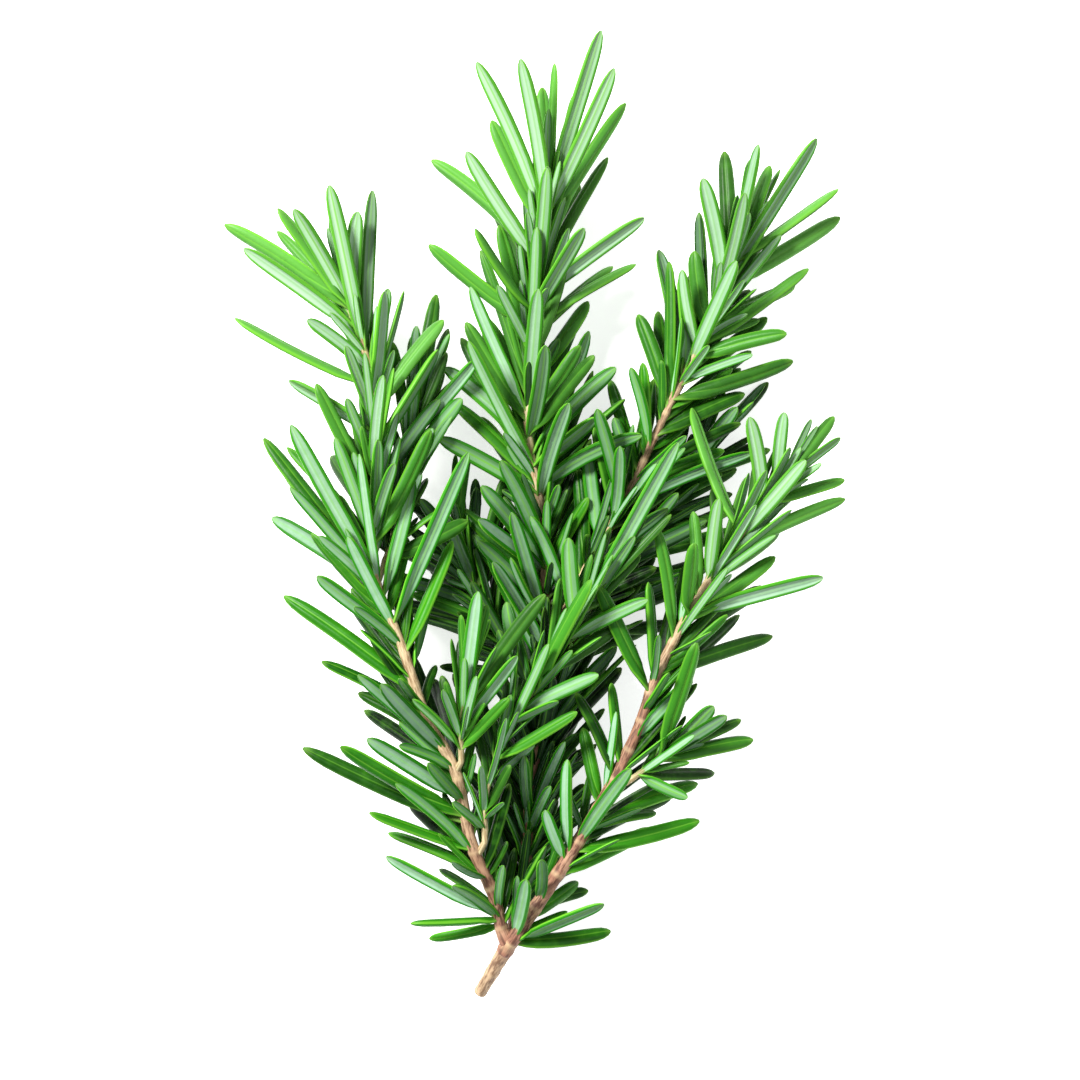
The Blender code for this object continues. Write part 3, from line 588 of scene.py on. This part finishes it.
# places (x, y, radius) where light comes through the sprig, which no leaf crosses
WINDOWS = (
    (-17.2, 9.0, 1.8), (-17.2, 3.5, 1.0), (-17.6, -23.0, 1.8), (16.3, -34.4, 0.9), (35.1, 14.2, 0.8),
    (35.0, 6.0, 0.8), (24.8, -7.6, 0.8), (16.2, 22.8, 0.6), (20.0, -62.4, 2.6), (-21.5, 37.0, 1.2),
    (-30.5, 45.5, 0.4), (39.0, -28.5, 1.5),
)


def spine_of(leaf, shares):
    """Points down the middle of a blade: one easy curve, lying along the surface where it meets it."""
    t = np.asarray(shares, float)[:, None]
    p = (1 - t) ** 2 * leaf["root"] + 2 * t * (1 - t) * leaf["elbow"] + t**2 * leaf["tip"]
    over = p[:, 2] - LOW
    p[:, 2] = LOW + 0.5 * (over + np.sqrt(over**2 + 0.6))
    return p


def frames_of(leaf, shares):
    """Points down the middle of a blade, with the ways to its side and out of its upper face."""
    p = spine_of(leaf, shares)
    ahead = spine_of(leaf, np.minimum(np.asarray(shares) + 0.04, 1.0))
    behind = spine_of(leaf, np.maximum(np.asarray(shares) - 0.04, 0.0))
    run = ahead - behind
    run /= np.linalg.norm(run, axis=1)[:, None]
    turned = np.clip(np.asarray(shares, float) / 0.3, 0, 1)[:, None]
    face = leaf["inner"] * (1 - leaf["turn"] * turned) + leaf["outer"] * leaf["turn"] * turned
    flat = np.clip((3.0 - p[:, 2:3]) / 2.0, 0, 1) * 4.0
    face = face + flat * np.array([0, 0, 1.0 if leaf["outer"][2] >= 0 else -1.0])
    face = face - (face * run).sum(axis=1)[:, None] * run
    face /= np.linalg.norm(face, axis=1)[:, None]
    return p, np.cross(run, face), face


def blade_of(leaf, shares, swell=0.0):
    """A blade's closed mesh: three-sided rings, flat below and ridged above, drawn in to a tip."""
    p, side, face = frames_of(leaf, tuple(shares) + (1.0,))
    half = 0.5 * leaf["width"]
    rows = []
    for i, t in enumerate(shares):
        wide = half * (ROOT_SHARE if t < 0.05 else TIP_SHARE if t > 0.7 else 1.0) + swell
        thick = 0.65 if t < 0.05 else 1.0
        below = p[i] - face[i] * (BLADE_UNDER * thick + swell)
        above = p[i] + face[i] * (BLADE_TOP * thick + swell)
        rows += [below - side[i] * wide, above, below + side[i] * wide]
    rows.append(p[-1])
    points = np.array(rows)
    rings = len(shares)
    faces = [(2, 1, 0)]
    for r in range(rings - 1):
        for k in range(3):
            a, b = 3 * r + k, 3 * r + (k + 1) % 3
            faces += [(a, b, b + 3), (a, b + 3, a + 3)]
    last = 3 * (rings - 1)
    faces += [(last + k, last + (k + 1) % 3, 3 * rings) for k in range(3)]
    return points, faces


def tube_of(axis, radii, sides, rings, swell=0.0):
    """A stem's closed mesh, narrowing from its foot to its tip."""
    points, faces = [], []
    for i in range(rings):
        s = axis.length * i / (rings - 1)
        ahead, right, up = axis.frame(s)
        r = along(radii, i / (rings - 1)) + swell
        turn = [2 * math.pi * (k + 0.5) / sides for k in range(sides)]
        points += [axis.at(s) + r * (math.cos(a) * right + math.sin(a) * up) for a in turn]
    for i in range(rings - 1):
        for k in range(sides):
            a, b = i * sides + k, i * sides + (k + 1) % sides
            faces += [(a, b + sides, b), (a, a + sides, b + sides)]
    faces += [(0, k, k + 1) for k in range(1, sides - 1)]
    last = (rings - 1) * sides
    faces += [(last, last + k + 1, last + k) for k in range(1, sides - 1)]
    return np.array(points), faces


def tree_of(points, faces):
    return BVHTree.FromPolygons([tuple(map(float, p)) for p in points], faces)


class Sprig:
    """Every leaf placed so far, with what is needed to keep the next one clear of them."""

    def __init__(self):
        self.axes = {name: Axis(shoot["axis"]) for name, shoot in SHOOTS.items()}
        self.leaves = []
        self.stems = {"stem_base": tree_of(*tube_of(Axis((CUT_END, FORK)), BASE_RADIUS, 8, 3, GAP))}
        for name, axis in self.axes.items():
            points, faces = tube_of(axis, SHOOTS[name]["radius"], 6, 24, GAP)
            self.stems[name] = tree_of(points, faces)

    def clear(self, leaf, crowded=False):
        """Whether a leaf has room: it may only meet the other leaves of its own stem at their roots."""
        own = leaf["shoot"]
        if abs(leaf["tip"][0]) > HALF_WIDTH or abs(leaf["tip"][1]) > HALF_LENGTH:
            return False
        plan = spine_of(leaf, (0.2, 0.35, 0.5, 0.65, 0.8, 0.92, 1.0))[:, :2]
        for x, y, radius in WINDOWS:
            if np.hypot(plan[:, 0] - x, plan[:, 1] - y).min() < radius + 0.4 * leaf["width"]:
                return False
        whole = tree_of(*blade_of(leaf, (0.0, 0.2, 0.4, 0.65, 0.85), GAP / 2))
        free = tree_of(*blade_of(leaf, (leaf["out_of_stem"], 0.4, 0.65, 0.85), GAP / 2))
        far = tree_of(*blade_of(leaf, (0.25, 0.4, 0.65, 0.85), GAP / 2))
        if far.overlap(self.stems[own]):
            return False
        if any(whole.overlap(tree) for name, tree in self.stems.items() if name != own):
            return False
        middle = 0.5 * (leaf["root"] + leaf["tip"])
        for other in self.leaves:
            if np.linalg.norm(middle - other["middle"]) > 0.56 * (leaf["length"] + other["length"]) + 2:
                continue
            if other["shoot"] == own:
                if (far if crowded else free).overlap(other["far" if crowded else "free"]):
                    return False
            elif whole.overlap(other["whole"]):
                return False
        leaf.update(middle=middle, whole=whole, free=free, far=far)
        return True

    def add(self, draw, pressed=False):
        """Places the first of a run of draws that has room, pressed in among its neighbours at last."""
        for attempt in range(TRIES):
            leaf = draw(attempt / TRIES)
            if self.clear(leaf, pressed and attempt > TRIES // 2):
                self.leaves.append(leaf)
                return True
        return False


def leaf_between(shoot, station, axis, tip, width, chance):
    """A leaf from a stem to a point, with its face turned up or down as chance has it."""
    middle = axis.at(station)
    ahead, _, _ = axis.frame(station)
    reach = tip - middle
    out = unit(reach - np.dot(reach, ahead) * ahead)
    radius = along(SHOOTS[shoot]["radius"], station / axis.length)
    root = middle + ROOT_DEPTH * radius * out
    reach = tip - root
    length = float(np.linalg.norm(reach))
    run = reach / length
    out_of_stem = ((1 - ROOT_DEPTH) * radius / max(float(np.dot(run, out)), 0.25) + 0.8) / length
    sag = chance.uniform(-0.14, 0.3)
    sway = chance.uniform(-0.1, 0.1)
    elbow = root + 0.5 * length * unit(run + sag * ahead + sway * np.cross(run, ahead))
    inner = unit(np.dot(run, out) * ahead - np.dot(run, ahead) * out)
    up = np.array([0, 0, 1.0])
    rise = out[2]
    shown = -1.0 if chance.random() < 0.42 + 0.6 * rise else 1.0
    return {
        "shoot": shoot, "station": station, "root": root, "elbow": elbow, "tip": tip, "inner": inner,
        "out": out, "out_of_stem": min(out_of_stem, 0.25),
        "outer": unit(shown * up + 0.15 * inner), "turn": chance.uniform(0.7, 1.0),
        "width": width, "length": length, "shown": shown,
    }


def outer_leaf(sprig, shoot, spot, chance):
    """A long leaf that ends at a given point, from a given height up the sprig."""
    axis, plan = sprig.axes[shoot], SHOOTS[shoot]
    tip = np.array(spot[:3], float)
    station = float(np.interp(spot[3], axis.points[:, 1], axis.distance))
    width = chance.uniform(3.1, 4.1)

    def draw(more):
        lift = np.array([0, 0, more * chance.uniform(-9, 9)])
        at = station + more * chance.uniform(-3.5, 3.5)
        at = max(at, plan["bare"] + chance.uniform(0, 1.5))
        at = min(at, axis.length - chance.uniform(0.7, 2.4))
        return leaf_between(shoot, at, axis, tip + lift, width * (1 - 0.25 * more), chance)

    return sprig.add(draw, pressed=True)


def taken(sprig, shoot, station, azimuth):
    """Whether a long leaf already stands about here on this side of the stem."""
    ahead, right, up = sprig.axes[shoot].frame(station)
    out = math.cos(math.radians(azimuth)) * right + math.sin(math.radians(azimuth)) * up
    return any(
        leaf["shoot"] == shoot and abs(leaf["station"] - station) < CLOSE
        and np.dot(leaf["out"], out) > SAME_SIDE
        for leaf in sprig.leaves
    )


def rule_leaf(sprig, shoot, station, azimuth, size, chance):
    axis, plan = sprig.axes[shoot], SHOOTS[shoot]
    share = station / axis.length
    lean = along(plan["lean"], share)
    full = along(plan["length"], share)

    def draw(more):
        spread = 7 + 34 * more
        turn = math.radians(azimuth + chance.uniform(-spread, spread))
        tilt = math.radians(lean + chance.uniform(-8, 8) * (1 + 1.4 * more))
        ahead, right, up = axis.frame(station)
        out = math.cos(turn) * right + math.sin(turn) * up
        length = full * size * chance.uniform(0.88, 1.1) * (1 - 0.3 * more)
        tip = axis.at(station) + length * (math.cos(tilt) * ahead + math.sin(tilt) * out)
        width = chance.uniform(2.8, 3.8) * (0.6 + 0.4 * min(size, 1.0))
        return leaf_between(shoot, station, axis, tip, width, chance)

    return sprig.add(draw)


def pairs_of(shoot, axis):
    """The stations of a stem's leaf pairs, closer and closer to its tip."""
    plan, s, stations = SHOOTS[shoot], SHOOTS[shoot]["bare"], []
    while s < axis.length - 0.8:
        stations.append(s)
        s += along(plan["step"], s / axis.length)
    return stations


def grow():
    """The sprig's leaves: the outermost first, then the pairs, then the small ones in their angles."""
    sprig = Sprig()
    chance = {name: random.Random(shoot["seed"]) for name, shoot in SHOOTS.items()}
    for name, shoot in SHOOTS.items():
        for tip in shoot["tips"]:
            outer_leaf(sprig, name, tip, chance[name])
    for name, shoot in SHOOTS.items():
        axis, draw = sprig.axes[name], chance[name]
        for k, station in enumerate(pairs_of(name, axis)):
            first = 90 * (k % 2) + draw.uniform(-14, 14)
            for azimuth in (first, first + 180):
                kept = draw.random() < along(shoot["front"], station / axis.length)
                if math.sin(math.radians(azimuth)) > 0.75 and not kept:
                    continue
                if not taken(sprig, name, station, azimuth):
                    rule_leaf(sprig, name, station, azimuth, 0.9, draw)
    for name, shoot in SHOOTS.items():
        axis, draw = sprig.axes[name], chance[name]
        for k, station in enumerate(pairs_of(name, axis)):
            first = 90 * (k % 2) + 45
            for azimuth in (first, first + 90, first + 180, first + 270):
                kept = draw.random() < along(shoot["front"], station / axis.length)
                if math.sin(math.radians(azimuth)) > 0.6 and not kept:
                    continue
                at = min(station + draw.uniform(0.9, 2.4), axis.length - 0.5)
                rule_leaf(sprig, name, at, azimuth + draw.uniform(-20, 20), draw.uniform(0.4, 0.72), draw)
    return sprig


sprig = grow()

# Real leaves are slimmer than the plan's, which leaves room for tufts of younger ones in their
# angles: steeper, narrower and set closer, thickest toward the tips and round the centre branch.
SLIM = 0.8
TUFT_TRIES, LATE_TRIES = 12, 40
TOP = 33.5  # the highest that the middle of a younger leaf lies over the surface
SAME_TIP = 0.05  # a leaf that ends this near to a planned tip is the one planned for it
tufts = {
    "branch_right": (2, 7), "branch_left": (2, 7), "branch_centre": (12, 8), "branch_upper_right": (3, 7),
    "back_shoot_left": (7, 7), "back_shoot_right": (7, 7),
}
LOW_LEAVES = ("branch_centre", "branch_upper_right", "back_shoot_left", "back_shoot_right")
# between these shares of its length, a stem shows from above
BARE = {
    "branch_right": (0, 0.62),
    "branch_left": (0, 0.55),
    "branch_centre": (0.54, 0.76),
    "branch_upper_right": (0.36, 0.6),
}


def slim_tree(leaf):
    return tree_of(*blade_of(leaf, (0.28, 0.5, 0.7, 0.87)))


def in_the_clear(leaf):
    """Whether a slim leaf keeps off the others past its root, and off the gaps where light comes through."""
    path = spine_of(leaf, (0.2, 0.35, 0.5, 0.65, 0.8, 0.92, 1.0))
    if np.any(abs(path[:, :2]) > (HALF_WIDTH - 1, HALF_LENGTH - 1)) or path[:, 2].max() > TOP:
        return False
    for x, y, radius in WINDOWS:
        if np.hypot(path[:, 0] - x, path[:, 1] - y).min() < radius + 0.4 * leaf["width"]:
            return False
    tree = slim_tree(leaf)
    middle = 0.5 * (leaf["root"] + leaf["tip"])
    if any(tree.overlap(stem) for stem in bare_stems.values()):
        return False
    for other in sprig.leaves:
        if np.linalg.norm(middle - other["middle"]) < 0.5 * (leaf["length"] + other["length"]) + 1:
            if tree.overlap(other["slim"]):
                return False
    leaf.update(middle=middle, slim=tree)
    return True


def tuft_leaf(name, axis, station, chance, low_side=0):
    """The first of a few draws of a young leaf that has room, leaning out less than the leaves around it.

    A leaf of the low side, right (1) or left (-1), is full grown and leans out and down instead."""
    share = station / axis.length
    full = along(SHOOTS[name]["length"], share)
    lean = along(SHOOTS[name]["lean"], share)
    for attempt in range(TUFT_TRIES):
        turn = chance.uniform(0, 2 * math.pi)
        tilt = math.radians(lean * chance.uniform(0.25, 0.8))
        width = chance.uniform(1.4, 2.4)
        if low_side:
            turn = math.radians(90 - low_side * chance.uniform(85, 150))
            tilt, width = math.radians(lean * chance.uniform(0.6, 1.2)), chance.uniform(2.0, 2.9)
        ahead, right, up = axis.frame(station)
        out = math.cos(turn) * right + math.sin(turn) * up
        low, high = BARE.get(name, (0, 0))
        if out[2] > 0.25 and low < share < high:
            continue
        reach = 1.3 if name == "branch_centre" and share < 0.45 else 1.0
        size = chance.uniform(0.85, 1.2) if low_side else reach * chance.uniform(0.5, 1.0)
        length = full * size * (1 - 0.5 * attempt / TUFT_TRIES)
        tip = axis.at(station) + length * (math.cos(tilt) * ahead + math.sin(tilt) * out)
        leaf = leaf_between(name, station, axis, tip, width, chance)
        leaf["tuft"] = True
        if in_the_clear(leaf):
            sprig.leaves.append(leaf)
            return


def late_leaf(name, axis, spot, chance):
    """A long outer leaf that found no room at the plan's width."""
    station = float(np.interp(spot[3], axis.points[:, 1], axis.distance))
    for attempt in range(LATE_TRIES):
        at = station + chance.uniform(-4, 4) * attempt / LATE_TRIES
        at = min(max(at, 1.0), axis.length - 0.7)
        lift = np.array([0, 0, chance.uniform(-8, 8) * attempt / LATE_TRIES])
        tip = np.array(spot[:3], float) + lift
        leaf = leaf_between(name, at, axis, tip, chance.uniform(2.4, 3.0), chance)
        leaf["late"] = True
        if in_the_clear(leaf):
            sprig.leaves.append(leaf)
            return


bare_stems = {
    name: tree_of(*tube_of(axis, [0.8 * r for r in SHOOTS[name]["radius"]], 6, 24))
    for name, axis in sprig.axes.items()
}
for leaf in sprig.leaves:
    leaf["width"] *= SLIM
    leaf["slim"] = slim_tree(leaf)
for name, axis in sprig.axes.items():
    chance = random.Random(SHOOTS[name]["seed"] + 100)
    own = [leaf["tip"] for leaf in sprig.leaves if leaf["shoot"] == name]
    for spot in SHOOTS[name]["tips"]:
        if min(np.hypot(*(tip[:2] - spot[:2])) for tip in own) > SAME_TIP:
            late_leaf(name, axis, spot, chance)
    if name in LOW_LEAVES:
        for station in np.arange(3.0, 0.8 * axis.length, 2.4):
            for side in (1, -1):
                tuft_leaf(name, axis, float(station), chance, side)
    few, many = tufts.get(name, (7, 9))
    for station in pairs_of(name, axis):
        share = station / axis.length
        for _ in range(round(few + (many - few) * share) + (4 if share > 0.8 else 0)):
            tuft_leaf(name, axis, min(station + chance.uniform(0.2, 3.0), axis.length - 0.3), chance)

# A leaf's section, across its width from edge to edge and up from its middle, both in half widths:
# the upper side with its sunken line, the rolled edges, and the felt with the rib between.
SECTION = (
    (-1.0, -0.08), (-0.9, 0.16), (-0.56, 0.44), (-0.16, 0.52), (0.0, 0.34), (0.16, 0.52), (0.56, 0.44),
    (0.9, 0.16), (1.0, -0.08), (0.92, -0.3), (0.72, -0.42), (0.5, -0.2), (0.2, -0.04), (0.0, -0.2),
    (-0.2, -0.04), (-0.5, -0.2), (-0.72, -0.42), (-0.92, -0.3),
)
UPPER_POINTS = 9
LEAF_RUN = (0, 0.06, 0.13, 0.24, 0.37, 0.5, 0.63, 0.75, 0.85, 0.92, 0.97, 1.0)
LEAF_WIDTH = (0.46, 0.6, 0.8, 0.94, 1.0, 1.0, 1.0, 0.97, 0.9, 0.75, 0.5, 0.16)


def section_object():
    """The leaf's section as a closed line, with how far across it and how far under it each point is."""
    points = [(up, -across, 0.0) for across, up in SECTION]
    count = len(points)
    mesh = bpy.data.meshes.new("leaf_section")
    mesh.from_pydata(points, [(i, (i + 1) % count) for i in range(count)], [])
    across = np.array([across for across, _ in SECTION], np.float32)
    under = np.array([0.0 if i < UPPER_POINTS else 1.0 for i in range(count)], np.float32)
    mesh.attributes.new("across", "FLOAT", "POINT").data.foreach_set("value", across)
    mesh.attributes.new("under", "FLOAT", "POINT").data.foreach_set("value", under)
    made = bpy.data.objects.new("leaf_section", mesh)
    bpy.context.scene.collection.objects.link(made)
    return made


def leaf_tree():
    """Sweeps the leaf's section along each middle line, turned and narrowed as the line says."""
    wire, inlet = new_tree(
        "Leaves on lines", {"Section": "Object", "Wrinkle depth": "Float", "Wrinkle spacing": "Float"}
    )
    curve = wire.node("GeometryNodeMeshToCurve", None, {"Mesh": inlet["Lines"]})
    facing = named(wire, "face", "FLOAT_VECTOR")
    curve = wire.node("GeometryNodeSetCurveNormal", {"mode": "FREE"}, {"Curve": curve, "Normal": facing})
    outline = wire.node("GeometryNodeObjectInfo", None, {"Object": inlet["Section"]}, output="Geometry")
    outline = wire.node("GeometryNodeMeshToCurve", None, {"Mesh": outline})
    wide = named(wire, "wide")
    swept = wire.node(
        "GeometryNodeCurveToMesh", None,
        {"Curve": curve, "Profile Curve": outline, "Scale": wide, "Fill Caps": True},
    )
    place = wire.node("GeometryNodeInputPosition")
    noise = wire.node(
        "ShaderNodeTexNoise", None,
        {"Vector": place, "Scale": inlet["Wrinkle spacing"], "Detail": 2.0},
    )
    return roughened(wire, swept, noise, inlet["Wrinkle depth"], inlet["Material"])


def leaf_material():
    made, shader, wire = new_material("leaf")

    def value(label):
        return wire.node("ShaderNodeAttribute", {"attribute_name": label}, output=2)

    across, under, far = value("across"), value("under"), value("far")
    tone, deep, young = value("tone"), value("deep"), value("young")
    place = wire.node("ShaderNodeTexCoord", output=3)
    mottle = wire.node("ShaderNodeTexNoise", None, {"Vector": place, "Scale": 420.0, "Detail": 3.0})
    pores = wire.node("ShaderNodeTexNoise", None, {"Vector": place, "Scale": 3000.0, "Detail": 2.0})
    side = abs(across)
    # the upper side: mid green, darkened by painted shade where other leaves cover it, with a fine pale
    # midrib line that is partly a painted highlight
    green = tone.mix(colour(8, 78, 4), colour(58, 142, 18))
    green = deep.mix(green, colour(1, 22, 2))
    green = young.mix(green, colour(92, 156, 64))
    green = (mottle.ease(0.4, 0.75) * 0.25).mix(green, colour(70, 142, 26))
    line = side.ease(0.13, 0.02)
    green = (line * 0.4 * (1 - 0.7 * deep)).mix(green, colour(124, 190, 60))
    # the edges, where the blade rolls under: a thin bright painted highlight, dimmed by the painted shade
    edge = side.ease(0.8, 0.99) * (0.85 - 0.65 * deep)
    green = edge.mix(green, colour(110, 182, 46))
    # the underside: pale felt on both sides of the rib, between green edges, all dark green under painted
    # shade
    felt = mottle.mix(colour(168, 198, 178), colour(116, 164, 122))
    felt = (tone * 0.8).mix(felt, colour(92, 152, 76))
    felt = (young * 0.8).mix(felt, colour(166, 200, 164))
    felt = (deep * 0.9).mix(felt, colour(18, 56, 14))
    rib = side.ease(0.17, 0.07)
    below = (rib * (0.25 + 0.5 * tone)).mix(felt, colour(104, 168, 46))
    rim = side.ease(0.52, 0.66)
    below = rim.mix(below, deep.mix(young.mix(colour(40, 126, 10), colour(84, 154, 44)), colour(3, 36, 2)))
    whole = under.ease(0.3, 0.7).mix(green, below)
    # painted shade: one half of each blade, across its width, is darker as if turned from the light
    half = across.ease(-0.1, 0.45) * (0.12 + 0.33 * tone)
    whole = half.mix(whole, deep.mix(colour(22, 84, 14), colour(2, 26, 3)))
    # the tip and the root are paler than the blade
    whole = (far.ease(0.92, 1.0) * 0.3).mix(whole, colour(120, 172, 60))
    whole = (far.ease(0.12, 0.0) * 0.5).mix(whole, colour(140, 170, 84))
    wire.tree.links.new(whole.socket, shader.inputs["Base Color"])
    felted = under * side.ease(0.66, 0.52)
    wire.tree.links.new((0.32 + 0.12 * mottle + 0.45 * felted).socket, shader.inputs["Roughness"])
    shader.inputs["Specular IOR Level"].default_value = 0.14
    height = 0.7 * mottle + 0.3 * pores
    bump = wire.node("ShaderNodeBump", None, {"Strength": 0.35, "Distance": 0.0002, "Height": height})
    wire.tree.links.new(bump.socket, shader.inputs["Normal"])
    return made


LEAF, LEAF_TREE, section = leaf_material(), leaf_tree(), section_object()
looks = random.Random(71)
ROLLS = (8, 14, 20, 32, 45, 60, 75)  # degrees that leaves turn about their own length
WIDEST = 1.5  # half the width of the broadest leaf
COVER = 13.0  # points of other leaves above one that make it a fully shaded one
tops = np.vstack([spine_of(leaf, (0.25, 0.5, 0.75, 0.95)) for leaf in sprig.leaves])


def covered(leaf):
    """How much of a leaf lies under other leaves, 0 to 1: the painted shade, darkest on the most covered
    ones.
    """
    middle = spine_of(leaf, (0.55,))[0]
    above = tops[:, 2] > middle[2] + 2.0
    near = np.hypot(tops[:, 0] - middle[0], tops[:, 1] - middle[1]) < 4.5
    return min(1.0, (above & near).sum() / COVER)


def leaves_piece(name, leaves):
    """All the leaves of one stem, each with its own width, turn, age, tone of green and painted shade."""
    runs, values = [], {label: [] for label in ("wide", "face", "far", "tone", "deep", "young")}
    for leaf in leaves:
        points, side, face = frames_of(leaf, LEAF_RUN)
        roll = looks.choice((-1, 1)) * looks.choice(ROLLS) * looks.uniform(0.7, 1.1)
        roll *= 0.2 if "late" in leaf else 1.0 if "tuft" in leaf else 0.7
        free = np.clip((points[:, 2] - 2.2) / 2.0, 0, 1) * np.clip(np.array(LEAF_RUN) / 0.35, 0, 1)
        turn = (np.radians(roll) * free)[:, None]
        face = np.cos(turn) * face + np.sin(turn) * side
        count = len(points)
        grown_up = min(1.0, 0.28 + leaf["length"] / 26)
        size = min(0.5 * leaf["width"] * looks.uniform(0.97, 1.26) * grown_up, WIDEST)
        share = leaf["station"] / sprig.axes[leaf["shoot"]].length
        tip = np.clip((share - 0.5) / 0.4, 0, 1) if leaf["shoot"].startswith("branch") else 0.25
        deep = covered(leaf) * looks.uniform(0.8, 1.05)
        young = min(tip * looks.uniform(0.6, 1.3), 1.0) * (1 - 0.7 * deep)
        # painted shade: upper faces of leaves pointing right, away from the key light, are often darkened
        if leaf["shown"] > 0 and looks.random() < (0.45 if leaf["out"][0] > 0.2 else 0.2):
            deep += looks.uniform(0.4, 0.8)
        # late leaves get at least this much painted shade
        if "late" in leaf:
            deep = max(deep, 0.6)
        runs.append(points)
        values["wide"].append(np.array(LEAF_WIDTH) * size * MM)
        values["face"].append(face)
        values["far"].append(np.array(LEAF_RUN))
        values["tone"].append(np.full(count, looks.random()))
        values["deep"].append(np.full(count, min(deep, 1.0)))
        values["young"].append(np.full(count, min(young, 1.0)))
    values = {label: np.concatenate(rows) for label, rows in values.items()}
    made = lines_object(name, runs, values)
    grown(
        made, LEAF_TREE,
        {"Section": section, "Wrinkle depth": 0.0001, "Wrinkle spacing": 900.0, "Material": LEAF},
        spare=("wide", "face"),
    )
    made.data.flip_normals()  # the sweep leaves them facing inward
    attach(made, "root")
    return made


def foot_of(name):
    """Where a stem's wood joins the stem that it leaves, on that stem's middle line."""
    axis = sprig.axes[name]
    start = axis.at(0.0) - 2.4 * axis.frame(0.0)[0]
    others = [base_axis] + [other for label, other in sprig.axes.items() if label != name]
    spots = [other.points[np.linalg.norm(other.points - start, axis=1).argmin()] for other in others]
    return min(spots, key=lambda spot: float(np.linalg.norm(spot - start)))


for order, (name, axis) in enumerate(sprig.axes.items()):
    leaves = [leaf for leaf in sprig.leaves if leaf["shoot"] == name]
    foliage = leaves_piece(name + "_leaves", leaves)
    thickness = SHOOTS[name]["radius"]
    if not name.startswith("branch"):
        thickness = (0.56, 0.4)
    stem = stem_piece(
        name + "_stem", axis, thickness, pairs_of(name, axis), woody[name], 5 + order, foot_of(name)
    )
    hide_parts(name)
    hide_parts(name)
bpy.data.objects.remove(section)


# ---- The floor, the light and the camera -------------------------------------------------------
# A plain white light table with a faint glow of its own, a soft light from the upper left and a
# weaker one from the right, and a long lens looking straight down on the middle of the sprig.

FLOOR_SIZE = 3.0
FLOOR_DROP = 0.0002  # the table lies this far under the ends of the lowest leaves
VIEW_WIDTH, VIEW_HEIGHT = 0.1944, 1.2


def floor():
    made, shader, wire = new_material("table_top")
    place = wire.node("ShaderNodeTexCoord", output=3)
    grain = wire.node("ShaderNodeTexNoise", None, {"Vector": place, "Scale": 300.0, "Detail": 2.0})
    shader.inputs["Base Color"].default_value = (0.9, 0.9, 0.9, 1)
    shader.inputs["Emission Color"].default_value = (1, 1, 1, 1)
    shader.inputs["Emission Strength"].default_value = 0.7
    wire.tree.links.new((0.75 + 0.1 * grain).socket, shader.inputs["Roughness"])
    half = FLOOR_SIZE / 2
    mesh = bpy.data.meshes.new("floor")
    corners = [(-half, -half, 0), (half, -half, 0), (half, half, 0), (-half, half, 0)]
    mesh.from_pydata(corners, [], [(0, 1, 2, 3)])
    mesh.materials.append(made)
    plane = bpy.data.objects.new("floor", mesh)
    plane.location.z = -FLOOR_DROP
    bpy.context.scene.collection.objects.link(plane)


def soft_light(name, place, size, power, tint):
    lamp = bpy.data.lights.new(name, "AREA")
    lamp.shape, lamp.size, lamp.energy, lamp.color = "DISK", size, power, tint
    made = bpy.data.objects.new(name, lamp)
    made.location = place
    made.rotation_euler = (-Vector(place)).to_track_quat("-Z", "Y").to_euler()
    bpy.context.scene.collection.objects.link(made)


floor()
soft_light("key", (-0.55, 0.45, 0.8), 0.3, 24.5, (1.0, 0.99, 0.96))
soft_light("fill", (0.6, -0.2, 0.8), 0.8, 2.0, (0.97, 0.99, 1.0))
sky = bpy.data.worlds.new("studio")
sky.use_nodes = True
sky.node_tree.nodes["Background"].inputs["Color"].default_value = (1, 1, 1, 1)
sky.node_tree.nodes["Background"].inputs["Strength"].default_value = 0.48
bpy.context.scene.world = sky
bpy.context.scene.view_settings.view_transform = "Standard"

lens = bpy.data.cameras.new("camera")
lens.sensor_width = 36.0
lens.lens = 36.0 * VIEW_HEIGHT / VIEW_WIDTH
camera = bpy.data.objects.new("camera", lens)
camera.location = (0.0009, -0.00405, VIEW_HEIGHT)
lens.clip_start, lens.clip_end = 0.05, 20.0
bpy.context.scene.collection.objects.link(camera)
bpy.context.scene.camera = camera
